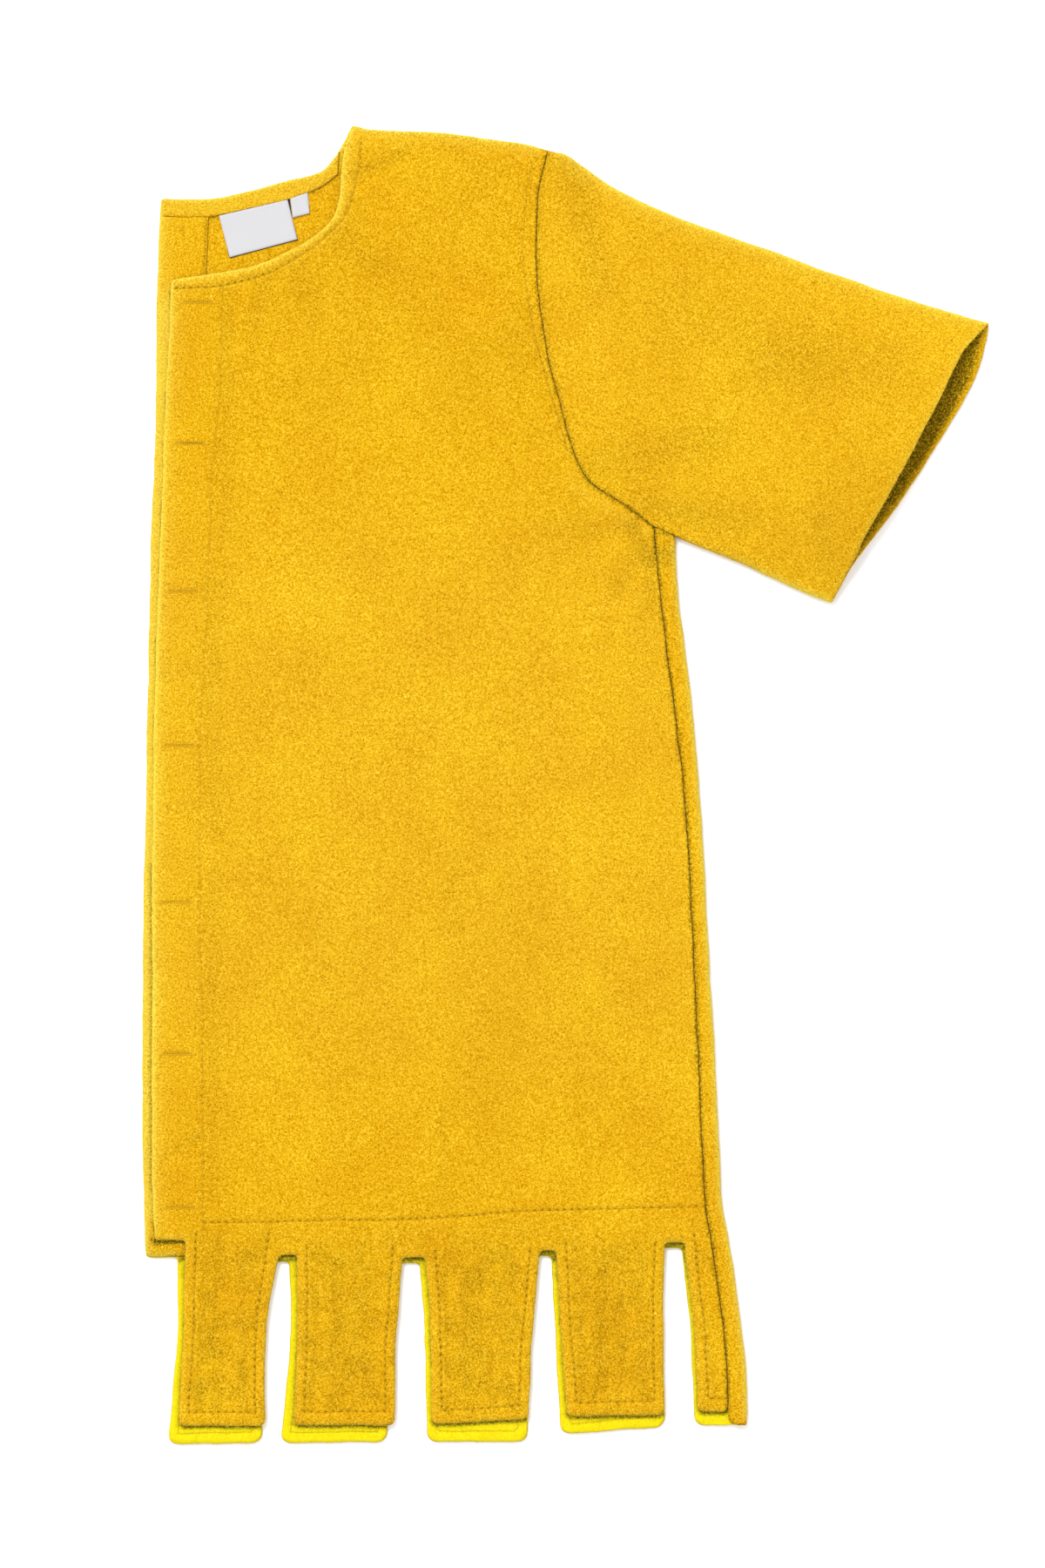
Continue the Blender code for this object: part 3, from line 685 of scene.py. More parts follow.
def seamPress(found, depths):
    # how the cloth is drawn down along a line of stitches, with a pit at each needle hole
    distance, place, number = found[:3]
    if distance > 0.012:
        return 0.0
    hole = (0.5 + 0.5 * math.cos(2 * math.pi * place)) ** 2
    drawn = sewing["groove"] * bump(distance, sewing["grooveWidth"])
    drawn += sewing["pit"] * hole * bump(distance, sewing["pitWidth"])
    puff = sewing["puff"] * bump(distance - 0.0036, 0.0022)
    pucker = sewing["pucker"] * math.cos(2.7 * place + number) * bump(distance - 0.003, 0.003)
    return depths[min(number, len(depths) - 1)] * (puff + pucker - drawn)


# buttonholes through the turned strip, and the satin stitches round each
buttonholes = {
    "places": [
        (-0.2234, 0.2939), (-0.2282, 0.2080), (-0.2329, 0.1179), (-0.2348, 0.0246),
        (-0.2369, -0.0708), (-0.2364, -0.1635), (-0.2343, -0.2568),
    ],
    "length": 0.0180,
    "width": 0.0012,
    "shift": 0.0010,        # a slot opens widest this far to the right of its middle
    "lens": 0.0072,         # half the length that can open
    "open": [0.03, 0.55, 0.03, 0.03, 0.03, 0.05, 0.03],    # share of the width that stands open
    "stitch": 0.0017,
    "pitch": 0.00088,
    "thread": 0.00027,
    "endStitches": 5,
}


def frontOutline():
    start = curveEdge("frontNeck")[:-1] + curveEdge("shoulder")[:-1]
    start += [(x - cut["sewnGap"], y) for x, y in curveEdge("frontArmhole")]
    start += bodyEdge(seam, start[-1][1] - 0.0015, frontTabs[-1][footLeft], -cut["sewnGap"])
    tabs, corners = hemOutline(frontTabs)
    centre = bodyEdge(frontEdge, curves["frontNeck"][0][1] - cut["edgeStep"], frontTabs[0][slitTop])
    corners = [0, len(start) - 1, len(start + tabs)] + [c + len(start) for c in corners]
    return rounded(start + tabs + centre[::-1], corners, cut["frontFoot"])


frontEdges = frontOutline()
frontRim = rimFinder(frontEdges)
frontCurves = ("neckStitch", "placketStitch", "hemStitch", "armholeStitch")
frontLines = [curveEdge(name, 0.003) for name in frontCurves]
frontLines += tabStitches(frontTabs, sewing["sideInset"], sewing["footInset"], seam)
frontSeams = lineFinder(frontLines)
# how strongly each line shows; the last share holds for all the lines that follow
frontDepths = [1.10, 0.38, 0.90, 0.60, 0.95]
# the edges that are sewn to another piece
joined = lineFinder([curveEdge("frontArmhole", 0.002), curves["underarm"][:2],
                     bodyEdge(seam, curves["frontArmhole"][-1][1], frontTabs[-1][footLeft], step=0.004)])

# how strongly painted light and shade show along the edges; pairs give where each begins and where it has
# gone
edgeLook = {
    "softboxSide": (-0.5, 0.87),
    "light": 0.39,
    "lightTurn": 0.11,      # less light on the side of the softbox, where the edge is lit already
    "bands": [(0.55, 0.0003, 0.0030), (0.25, 0.0010, 0.0060)],
    "wideBand": (0.20, 0.0020, 0.0140),
    "outer": (0.06, 0.0002, 0.0012),
    "tabLight": 0.16,       # the tabs' share of the light
    "seam": (0.26, 0.0003, 0.0015),
    "seamLine": (0.30, 0.0001, 0.0009),
    "underarm": 0.24,       # added under the arm, where the dark is wider too
    "underarmWidth": 0.0009,
}


def band(distance, values):
    # a share that is full near an edge and fades away from it
    share, full, gone = values
    return share * falling(distance, full, gone)


def edgeLight(found):
    # the light that a free edge's fibres catch: two bands, and a wide one on the side of the softbox
    lit = found.left.dot(Vector(edgeLook["softboxSide"]))
    spread = sum(band(found.distance, values) for values in edgeLook["bands"])
    spread += band(found.distance, edgeLook["wideBand"]) * rising(lit, -0.2, 0.3)
    return spread * (edgeLook["light"] - edgeLook["lightTurn"] * lit)


def freeEdge(found, x, y):
    # painted highlight of a free edge, fading near sewn edges and weaker on the tabs
    away = rising(joined(x, y).distance, 0.0015, 0.0080)
    onTab = edgeLook["tabLight"] + (1 - edgeLook["tabLight"]) * rising(y, -0.280, -0.265)
    return (edgeLight(found) + band(found.distance, edgeLook["outer"])) * away * onTab


def paintedSeamShade(x, y):
    # painted shade in a sewn edge's groove, deeper and wider towards the underarm
    distance = joined(x, y).distance
    low = falling(y, 0.175, 0.205) * rising(y, 0.130, 0.150)
    share, full, gone = edgeLook["seam"]
    gone += edgeLook["underarmWidth"] * low
    dark = (share + edgeLook["underarm"] * low) * falling(distance, full, gone)
    return dark + band(distance, edgeLook["seamLine"])


# darks painted on the front and below it, as shares of the full shade
frontDark = {
    "tab": 0.13,            # the duller middle of a tab
    "tabEdge": 0.10,
    "tabFoot": 0.30,
    "broadMottle": 0.20,    # on the tabs
    "fineMottle": 0.16,
    "crease": 130,          # for each metre of depth, and its limits
    "creaseLimits": (-0.05, 0.30),
    "slot": 0.10,           # round a buttonhole
    "chest": 0.03,
    "paleTint": 0.03,           # paler body between the chest and the tabs
    "under": 0.6,
    "beside": 0.14,         # under the centre edge, more of it lower down, and beside the tabs
    "besideTab": 0.10,
    "below": 0.55,
    "foot": 0.50,           # in the slot below the placket's foot
    "footAll": 0.12,
    "footWidth": 0.0014,
}


def frontShade(x, y):
    # painted shade: the dark of the sewn edges, the duller middle of the tabs, hollows and buttonholes
    look = frontDark
    rim = frontRim(x, y)
    low = rising(-y, 0.258, 0.292)
    foot = look["tabFoot"] if y < tabMiddle and rim.left.y < -0.5 else look["tabEdge"]
    tab = look["tab"] * rising(rim.distance, 0.004, 0.012) + foot * falling(rim.distance, 0.0004, 0.0018)
    tab += look["broadMottle"] * grain(x, y, 110, 75, 5) + look["fineMottle"] * grain(x, y, 260, 230, 6)
    least, most = look["creaseLimits"]
    hollow = min(max(-look["crease"] * foldsAt(x, y, frontRelief["creases"]), least), most)
    slot = 0.0
    for holeX, holeY in buttonholes["places"]:
        across = falling(abs(x - holeX - buttonholes["shift"]), 0.0060, 0.0090)
        slot = max(slot, look["slot"] * across * falling(abs(y - holeY), 0.0008, 0.0024))
    return max(paintedSeamShade(x, y), 0.0, slot + low * tab + hollow + look["chest"] * rising(y, 0.18, 0.26))


def frontBright(x, y):
    # painted highlight on the free edges, and the paler body between the chest and the tabs
    paleTint = frontDark["paleTint"] * falling(y, 0.10, 0.22) * rising(y, -0.25, -0.10)
    return freeEdge(frontRim(x, y), x, y) + paleTint


def underFront(x, y):
    # painted shadow below the front's edges, deepest below its feet
    look = frontDark
    found = frontRim(x, y)
    if found.offset < 0:
        return look["under"]
    below = max(0.0, -found.left.y)
    beside = look["beside"] * rising(-y, 0.020, 0.160) + look["besideTab"] * rising(-y, 0.270, 0.290)
    dark = beside * falling(found.distance, 0.0004, 0.0030)
    dark += look["below"] * below * falling(found.distance, 0.0008, 0.0036)
    if -0.300 < y < -0.276:
        # the painted shadow in the slot below the placket's foot is widest at the centre edge
        width = look["footWidth"] * (1 + falling(x, -0.246, -0.234))
        dark += look["foot"] * below * falling(found.distance, width, width + 0.0008)
        dark += look["footAll"]
    return dark


def frontDetail(x, y):
    # seams, creases and hollows of the upper face
    look = frontRelief
    rim = frontRim(x, y).distance
    detail = seamPress(frontSeams(x, y), frontDepths) + foldsAt(x, y, look["creases"])
    detail += look["waves"] * waves(x, y) * (0.25 + rising(rim, 0.006, 0.040))
    if y < shoulderAt(x) - look["shoulderFall"]:
        detail -= look["edgeRoll"] * falling(rim, 0.0, 0.0032) * rising(joined(x, y).distance, 0.002, 0.006)
    if y < -0.272:
        hollow = rising(rim, 0.0065, 0.0125) * rising(-y, 0.274, 0.300)
        turn = x * 2 * math.pi / look["ripplePitch"] + 40 * (y + 0.33) ** 2 + 3 * grain(x, y, 20, 14, 3)
        detail += hollow * (look["ripple"] * math.sin(turn) - look["tabHollow"])
    strip = bodyAt(y, frontEdge) + cut["strip"]
    if x < strip and y < 0.305:
        detail += look["stripPuff"] * math.sin(math.pi * rising(x, strip - cut["strip"], strip))
    return detail


def placeFront(x, y, share):
    for (holeX, holeY), wide in zip(buttonholes["places"], buttonholes["open"]):
        if abs(x - holeX) < 0.0095 and abs(y - holeY) < buttonholes["width"]:
            # a slot's lips close to a lens
            lens = max(1 - (abs(x - holeX - buttonholes["shift"]) / buttonholes["lens"]) ** 2, 0.05)
            y = holeY + (y - holeY) * (wide * lens if abs(y - holeY) < 0.0008 else 1.0)
    level = frontLevel(x, y)
    low = level - frontWall(x, y)
    if share < 0.01:
        return Vector((x, y, low))
    return Vector((x, y, low + (level + frontDetail(x, y) - low) * share))


def makeFront(material):
    def nearHole(x, y, reach):
        return any(abs(x - hx) < buttonholes["length"] / 2 + reach and abs(y - hy) < reach
                   for hx, hy in buttonholes["places"])

    def near(x, y):
        return y < cut["hemLine"] or frontSeams(x, y).distance < 0.0065 or frontRim(x, y).distance < 0.004

    def nearer(x, y):
        return frontSeams(x, y).distance < 0.0026 or frontRim(x, y).distance < 0.0018 or nearHole(x, y, 0.004)

    def neckFade(x, y):
        # the neck's line shows less towards the shoulder
        return 1 - 0.55 * rising(x, -0.195, -0.165) * rising(y, 0.29, 0.30)

    bm = flatSheet(frontEdges, cut["cell"])
    for x, y in buttonholes["places"]:
        cutSlot(bm, x, y, buttonholes["length"], buttonholes["width"])
    return finishSheet(bm, ("frontCloth", material, "wool_cloth", ["front_panel"]), placeFront, frontRim,
                       [(flatWall, near), (flatWall, nearer)], {"rim": frontBright, "shade": frontShade},
                       (frontSeams, frontDepths, neckFade))


# the back: worked out flat, as distances from the side fold, then rolled over at the fold
backRelief = {
    "depths": [0.8],        # of the stitches' grooves
    "underWaves": 0.00030,  # under the part that comes over the fold
    "hollows": [
        (0.0610, 0.1420, 0.0600, 0.1380, 0.0050, 0.40),
        (0.0520, 0.1600, 0.0700, 0.1520, 0.0030, 0.40),
    ],
    "roughness": 0.9,       # of the hollows' dark
    "seamDark": 0.62,
    "rollSteps": 8,
}


def foldAt(y):
    return bodyAt(y, fold)


def underarmAt(x):
    start, end = curves["underarm"][:2]
    return start[1] - cut["gap"] + (x - start[0]) * (end[1] - start[1]) / (end[0] - start[0])


def backOutline():
    roll = cut["roll"]
    turn = math.pi * roll
    foldX = foldAt(curves["underarm"][1][1])
    start = curveEdge("backNeck")[:-1] + curveEdge("shoulder")[:-1]
    start += [(x - cut["gap"], y) for x, y in curveEdge("backArmhole")]
    start = [(x - foldAt(y), y) for x, y in start]
    start += [(-roll, underarmAt(foldX - roll)), (-roll + turn / 2, underarmAt(foldX)),
              (-roll + turn, underarmAt(foldX - roll) + cut["lap"])]
    high = underarmAt(bodyAt(curves["underarm"][0][1], seam) + cut["gap"]) + cut["lap"]
    side = bodyEdge(seam, high, backTabs[-1][footRight])
    start += [(turn - 2 * roll + foldAt(y) - x, y) for x, y in side]
    tabs, corners = hemOutline(backTabs)
    centre = bodyEdge(backEdge, curves["backNeck"][0][1] - cut["edgeStep"], backTabs[0][slitTop])[::-1]
    outline = start + [(x - foldAt(y), y) for x, y in tabs + centre]
    corners = [0, len(start) - 1, len(start + tabs)] + [c + len(start) for c in corners]
    return rounded(outline, corners, cut["backFoot"])


backEdges = backOutline()
backRim = rimFinder(backEdges)
backTabLines = tabStitches(backTabs, sewing["backSideInset"], sewing["backFootInset"], fold)
backLines = [bodyEdge(backEdge, 0.3450, -0.2700, sewing["backPlacketInset"]),
             [(x, y - 0.0010) for x, y in curveEdge("bandEdge", 0.003)],
             [(-0.2250, -0.2640), (-0.1000, -0.2640), (0.0000, -0.2625), (0.0900, -0.2625)], *backTabLines]
backSeams = lineFinder([[(x - foldAt(y), y) for x, y in line] for line in backLines])


def placeBack(across, y, share):
    roll, wall = cut["roll"], cut["wool"]
    turn = math.pi * roll
    foldX = foldAt(y)
    past = across + roll
    press = 0.0
    if share < 0.3 and past < 0:
        press = -seamPress(backSeams(across, y), backRelief["depths"])
    if past > turn and share < 0.3:
        depth = backRim(across, y).distance
        press = backRelief["underWaves"] * waves(foldX - across, y, 7) * rising(depth, 0.001, 0.006)
    if past <= 0:
        return Vector((across + foldX, y, max(share * wall + press, 0.0)))
    radius = roll - share * wall
    if past >= turn:
        return Vector((foldX - roll - (past - turn), y, roll + radius + (press if share < 0.5 else 0)))
    angle = past / roll
    return Vector((foldX - roll + radius * math.sin(angle), y, roll - radius * math.cos(angle)))


def makeBack(material):
    roll = cut["roll"]
    turn = math.pi * roll

    def turned(x, y):
        return x > 0 and (backRim(x, y).distance < 0.0036 or y > 0.11)

    def seamShade(x, y):
        # painted shade: the turned part's edge lies in the side seam, and hollows lie in its top under the
        # arm
        if x < 0:
            return 0.0
        hollow = foldsAt(foldAt(y) - 2 * roll + turn - x, y, backRelief["hollows"])
        hollow *= 1 + backRelief["roughness"] * grain(x, y, 330, 200, 4)
        return max(hollow, backRelief["seamDark"] * falling(backRim(x, y).distance, 0.0002, 0.0022))

    def bright(x, y):
        # painted highlight of the free edges; over the fold it is measured from the fold's outer line in plan
        found = backRim(x, y)
        if x + roll < turn / 2:
            return edgeLight(found)
        past = min(x + roll, turn)
        inside = roll * (1 - math.sin(past / roll)) + x + roll - past
        return edgeLight(nearest(inside, 0, 0, 0, Vector((1, 0)))) * rising(found.distance, 0.002, 0.006)

    bm = flatSheet(backEdges, cut["cell"], right=-roll)
    for k in range(backRelief["rollSteps"] + 1):
        cutAcross(bm, 0, -roll + turn * k / backRelief["rollSteps"])
    finer = [(0, lambda x, y, near=near: backSeams(x, y).distance < near) for near in (0.0045, 0.0022)]
    return finishSheet(bm, ("backCloth", material, "wool_cloth", ["back_panel"]), placeBack, backRim,
                       finer + [(0, turned), (0, turned)], {"rim": bright, "shade": seamShade},
                       (backSeams, backRelief["depths"]))


# the sleeve: rings from the armhole to the cuff, outside and then back along the inside
sleeve = {
    "across": 56,
    "alongSteps": 64,
    "rollSteps": 5,
    "cuffRise": 0.0150,     # how far the upper layer stands up at the middle of the cuff
    "full": 0.0048,
    "hemWidth": 0.0205,
    "hemTurn": 0.0007,      # extra wall where the cuff is turned in
    "hemLine": 0.0003,
    "waves": 0.0004,
    "seamPuff": 0.0003,     # rise of the cloth beside the armhole seam
    "rimDepth": 0.34,       # how far the cut ends round off, as a share of the wall
    "dips": [
        (0.0056, 0.3718, 0.0230, 0.3029, 0.0110, -0.0015),
        (0.0330, 0.3560, 0.0420, 0.3100, 0.0120, 0.0010),
        (0.0230, 0.1900, 0.0900, 0.2100, 0.0140, -0.0012),
        (0.0500, 0.1680, 0.1100, 0.1560, 0.0100, -0.0012),
        (0.0700, 0.2850, 0.1500, 0.2600, 0.0200, -0.0010),
        (0.1250, 0.2500, 0.1950, 0.2500, 0.0200, -0.0011),
        (0.1550, 0.1560, 0.1640, 0.1180, 0.0070, -0.0010),
        (0.1150, 0.1480, 0.1500, 0.1330, 0.0090, 0.0009),
    ],
    "mouthShade": 0.88,     # dark inside the cuff
    "dipShade": 90,
    "lowShade": (0.0600, 0.1495, 0.1130, 0.1300),   # along this line beside the underarm
    "lowDark": 0.20,
    "cuffLight": 0.25,      # the cuffs catch little light
    # the sleeve is a little paler all over
    "paleTint": 0.015,
}


def sleevePlan(across, station, armhole, cuff):
    high, low = along("sleeveTop", station), along("underarm", station)
    start, end = along(armhole, across), along(cuff, across)
    armTop, armLow = curves[armhole][0], curves[armhole][-1]
    cuffTop, cuffLow = curves[cuff][0], curves[cuff][-1]
    made = []
    for axis in (0, 1):
        lengthwise = start[axis] * (1 - station) + end[axis] * station
        crosswise = high[axis] * (1 - across) + low[axis] * across
        near = armTop[axis] * (1 - across) + armLow[axis] * across
        far = cuffTop[axis] * (1 - across) + cuffLow[axis] * across
        made.append(lengthwise + crosswise - near * (1 - station) - far * station)
    return made


def sleevePuff(across, station):
    arch = math.sin(math.pi * min(max(across, 0.0), 1.0)) ** 1.3
    rise = sleeve["full"] * math.sin(math.pi * station) + sleeve["cuffRise"] * rising(station, 0.40, 1.0)
    return arch * rise


frontCuffRims = curveFinder("frontCuff")
backCuffRims = curveFinder("backCuff")
sleeveSeam = curveFinder("frontArmhole")


def sleeveRadius(inside, ending, edge):
    # of the rolled edges: the wall thins where an end is rounded, and is thicker where the cuff is turned in
    thinned = sleeve["rimDepth"] * ending
    if not inside:
        return cut["roll"] - cut["wool"] * thinned
    hem = falling(edge, sleeve["hemWidth"], sleeve["hemWidth"] + 0.002)
    hem *= 1 - 0.35 * rising(edge, 0.004, 0.0055)
    return cut["roll"] - cut["wool"] * (1 - thinned) - sleeve["hemTurn"] * hem


def sleeveRise(x, y, share, station, edge, inside):
    # how far the upper layer stands above its rolled edges
    raised = falling(station, 0.0, 0.30) * (layerLevel(x, y) - top) + sleevePuff(share, station)
    if not inside:
        hem = bump(edge - sleeve["hemWidth"], 0.0012) * rising(station, 0.3, 0.5)
        raised += foldsAt(x, y, sleeve["dips"]) + sleeve["waves"] * waves(x, y, 2) - sleeve["hemLine"] * hem
        raised += sleeve["seamPuff"] * bump(sleeveSeam(x, y).distance - 0.004, 0.003)
    return raised


def sleeveRing(station, inside, ending):
    # ending is 1 at the cut ends, where the wall's rims are rounded
    roll, steps, count = cut["roll"], sleeve["rollSteps"], sleeve["across"]
    base = roll - cut["wool"] if inside else roll
    upper, lower = [], []
    for points, armhole, cuff, finder, side in ((upper, "frontArmhole", "frontCuff", frontCuffRims, 1),
                                                (lower, "backArmhole", "backCuff", backCuffRims, -1)):
        ends = [sleevePlan(k / 8, station, armhole, cuff) for k in range(9)]
        length = lengthsTo(ends)[-1]
        rolled = [(roll - base * math.cos(math.pi / 2 * k / steps)) / length for k in range(steps + 1)]
        flat = [rolled[-1] + (1 - 2 * rolled[-1]) * k / count for k in range(1, count)]
        shares = rolled + flat + [1 - share for share in reversed(rolled)]
        for index, share in enumerate(shares):
            x, y = sleevePlan(share, station, armhole, cuff)
            turn = math.sin(math.pi / 2 * min(index, len(shares) - 1 - index, steps) / steps)
            edge = finder(x, y).distance
            level = roll + side * sleeveRadius(inside, ending, edge) * turn
            if side > 0:
                level += sleeveRise(x, y, share, station, edge, inside) * turn ** 2
            points.append(Vector((x, y, level)))
    return upper + lower[-2:0:-1]


def makeSleeve(material):
    count = sleeve["alongSteps"]
    starts = [(0, 1.0), (0.0011, 0.35), (0.0026, 0.0)]
    stations = starts + [(0.0026 + 0.9948 * k / count, 0.0) for k in range(1, count)]
    stations += [(1 - station, ending) for station, ending in reversed(starts)]
    rings = [sleeveRing(station, False, ending) for station, ending in stations]
    rings += [sleeveRing(station, True, ending) for station, ending in reversed(stations)]
    bm = bmesh.new()
    made = [[bm.verts.new(point) for point in ring] for ring in rings]
    for ring, after in zip(made, made[1:] + made[:1]):
        joinRings(bm, ring, after)
    bmesh.ops.recalc_face_normals(bm, faces=bm.faces[:])
    free = lineFinder([curveEdge(name, 0.002) for name in ("frontCuff", "backCuff", "sleeveTop")]
                      + [curveEdge("underarm", 0.002)[::-1]])
    shade = bm.verts.layers.float.new("shade")
    bright = bm.verts.layers.float.new("rim")
    outside = len(stations) * len(rings[0])
    for index, vert in enumerate(bm.verts):
        x, y, z = vert.co
        if index < outside:
            found = free(x, y)
            # the underarm edge catches more light away from the body
            cuffs = sleeve["cuffLight"]
            share = (cuffs, cuffs, 1.0, cuffs + (1 - cuffs) * rising(x, 0.080, 0.150))[found.number]
            vert[bright] = freeEdge(found, x, y) * share + sleeve["paleTint"]
            low = sleeve["lowDark"] * bump(lineDistance(x, y, sleeve["lowShade"]), 0.0070)
            dips = min(-sleeve["dipShade"] * foldsAt(x, y, sleeve["dips"]), 0.2)
            vert[shade] = max(paintedSeamShade(x, y), dips, low)
        else:
            rough = 1 + 0.25 * grain(x, y, 150, 150, 8)
            vert[shade] = sleeve["mouthShade"] * rough * rising(backCuffRims(x, y).distance, 0.0008, 0.0046)
    return makePiece(bm, "sleeveCloth", material, "wool_cloth", ["sleeve"])


# facings and the neck band, which lie on the back's inner face
curves["backNeckBand"] = curves["backNeck"][:7]
facing = {
    "edge": 0.00025,        # puff beside the edges
    "waves": 0.00010,
    "sunk": 0.00015,
    "rounding": 0.22,
    "mottle": 0.14,
    "slitTops": 0.86,       # painted shade at the tops of the hem facing's slits, under the front's edge
    "strip": 0.29,          # light on the strip beside the front's centre edge
    # painted light on the neck band
    "neckBand": 0.10,
    "stitchedTop": 0.3440,  # the zigzag's ends
    "stitchedFoot": -0.2850,
}
facingLines = [[(x, y) for x, y in line if x < foldAt(y) - 0.006] for line in backTabLines]
facingSeams = lineFinder([bodyEdge(backEdge, facing["stitchedTop"], facing["stitchedFoot"],
                                   cut["placketFacing"] - 0.0014), *facingLines])


def makeFacing(name, outline, corners, cell, material, slotName, node):
    edges = rounded(outline, corners, cut["backFoot"])
    rim = rimFinder(edges)

    def place(x, y, share):
        puff = facing["edge"] * bump(rim(x, y).distance - 0.0022, 0.0016) + facing["waves"] * waves(x, y, 5)
        puff += seamPress(facingSeams(x, y), [0.6]) - facing["sunk"]
        return Vector((x, y, inner + share * (cut["facing"] + puff * (share > 0.6))))

    def shade(x, y):
        # painted shade under the front's edges and at the tops of the hem facing's slits; the placket's
        # facing is darkest at its rough foot
        dark = facing["mottle"] * grain(x, y, 170, 170, 6)
        if node == "back_hem_facing" and y > -0.3:
            dark = facing["slitTops"] * rising(y, -0.2925, -0.2885)
        elif node == "back_placket_facing":
            rough = 0.5 + 0.7 * grain(x, y, 400, 400, 7)
            dark = rough * falling(rim(x, y).distance, 0.0008, 0.0030) * rising(-y, 0.2830, 0.2850)
        return max(underFront(x, y), dark, 0.0)

    def bright(x, y):
        # painted highlight on the free edges, the neck band and the strip beside the front's centre edge
        if node == "back_hem_facing":
            return falling(rim(x, y).distance, 0.0003, 0.0018)
        strip = facing["strip"] * rising(bodyAt(y, frontEdge) - x, -0.0010, 0.0) * falling(y, 0.285, 0.320)
        neck = facing["neckBand"] * rising(y, 0.345, 0.350)
        return max(edgeLight(backRim(x - foldAt(y), y)), neck, strip * rising(y, -0.270, -0.260))

    def near(x, y):
        return 0 < frontRim(x, y).offset < 0.0045 or facingSeams(x, y).distance < 0.0030

    def nearer(x, y):
        return 0 < frontRim(x, y).offset < 0.0030 and frontRim(x, y).left.y < -0.5

    return finishSheet(flatSheet(edges, cell), (name, material, slotName, [node]), place, rim,
                       [(flatWall, near), (flatWall, nearer)], {"rim": bright, "shade": shade},
                       (facingSeams, [0.7]), facing["rounding"])


def makeFacings(wool, cotton):
    inset, gap, wide = cut["edgeInset"], cut["gap"], cut["placketFacing"]
    upper = [(x, y - inset) for x, y in curveEdge("backNeckBand")]
    upper[0] = (upper[0][0] + inset, upper[0][1])
    lower = curveEdge("bandEdge")[::-1]
    lower[-1] = (lower[-1][0] + inset, lower[-1][1])
    neckBand = makeFacing("neckBandCloth", upper + lower, [], 0.0022, wool, "wool_cloth", "back_neck_band")
    high = curves["bandEdge"][0][1] - gap
    foot = backTabs[0][slitTop] + inset + gap
    strip = bodyEdge(backEdge, high, foot, inset)[::-1] + bodyEdge(backEdge, high, foot, wide)
    placket = makeFacing("placketFacingCloth", strip, [], 0.0030, wool, "placket_cloth",
                         "back_placket_facing")
    tabs, corners = hemOutline(backTabs, inset)
    side = bodyEdge(fold, cut["hemLine"], backTabs[-1][footLeft] + inset, -cut["roll"] - inset)
    end = [(bodyAt(y, backEdge) + wide + gap, y - drop) for y, drop in ((foot, gap), (cut["hemLine"], 0))]
    hem = makeFacing("hemFacingCloth", side + tabs + end, [c + len(side) for c in corners], 0.0030, cotton,
                     "hem_facing_cloth", "back_hem_facing")
    return neckBand, placket, hem


# the woven label and the size tag beside it, both left blank: size, then the corners from the upper left
ribbons = {
    "label": {
        "size": (0.0428, 0.0264),
        "corners": [(-0.2111, 0.3468), (-0.1693, 0.3566), (-0.1633, 0.3323), (-0.2046, 0.3213)],
    },
    "tag": {
        "size": (0.0108, 0.0120),
        "corners": [(-0.1677, 0.3575), (-0.1570, 0.3609), (-0.1557, 0.3482), (-0.1661, 0.3455)],
    },
    # a dark sheet under the label: beside the tag it is the label's dark underside, and the thin line it
    # shows at the label's edges is painted shadow
    "undersideAndShadow": [
        (-0.2108, 0.3466), (-0.1692, 0.3568), (-0.1680, 0.3571), (-0.1664, 0.3450), (-0.1661, 0.3425),
        (-0.1630, 0.3321), (-0.1634, 0.3319), (-0.2044, 0.3210), (-0.2048, 0.3213),
    ],
    "turn": 13.9,           # degrees
    "puff": 0.00018,        # of the folded ends, which fall away outside it
    "fall": 0.0002,
    "curl": 0.00035,        # of the lower edge
    "cell": 0.0014,
    "rounding": 0.12,
}


def makeRibbon(name, values, material, node):
    width, height = values["size"]
    outline = [(0, 0), (width, 0), (width, -height), (0, -height)]
    highLeft, highRight, lowRight, lowLeft = (Vector(corner) for corner in values["corners"])

    def place(x, y, share):
        side = min(x, width - x)
        ends = ribbons["puff"] * bump(side - 0.0012, 0.0010) - ribbons["fall"] * (1 + bump(side, 0.0005))
        curl = ribbons["curl"] * rising(-y, height * 0.4, height) * (0.5 + 0.5 * math.cos(x / width * 5))
        z = inner + share * cut["ribbon"] + (share > 0.6) * (ends + curl)
        high = highLeft.lerp(highRight, x / width)
        low = lowLeft.lerp(lowRight, x / width)
        return high.lerp(low, -y / height).to_3d() + Vector((0, 0, z))

    return finishSheet(flatSheet(outline, ribbons["cell"]), (name, material, "label_ribbon", [node]), place,
                       rimFinder(outline, 0.0008), [], {}, rounding=ribbons["rounding"])


def makeUndersideAndShadow(material):
    # the label's dark back, reaching a little past the label's edges, where it shows as painted shadow
    bm = bmesh.new()
    clear = 0.00004
    levels = (cut["wool"] + clear, inner - clear)
    made = [[bm.verts.new((x, y, z)) for x, y in ribbons["undersideAndShadow"]] for z in levels]
    for ring in made:
        bm.faces.new(ring)
    joinRings(bm, *made)
    bmesh.ops.recalc_face_normals(bm, faces=bm.faces[:])
    return makePiece(bm, "labelUndersideAndShadow", material, "label_ribbon")


# materials
def addNode(tree, kind, inputs=None, **settings):
    node = tree.nodes.new("ShaderNode" + kind)
    for name, value in settings.items():
        setattr(node, name, value)
    for name, value in (inputs or {}).items():
        if isinstance(value, bpy.types.NodeSocket):
            tree.links.new(value, node.inputs[name])
        else:
            node.inputs[name].default_value = value
    return node


def maths(tree, operation, first, second=0.0, clamp=False):
    return addNode(tree, "Math", {0: first, 1: second}, operation=operation, use_clamp=clamp).outputs[0]


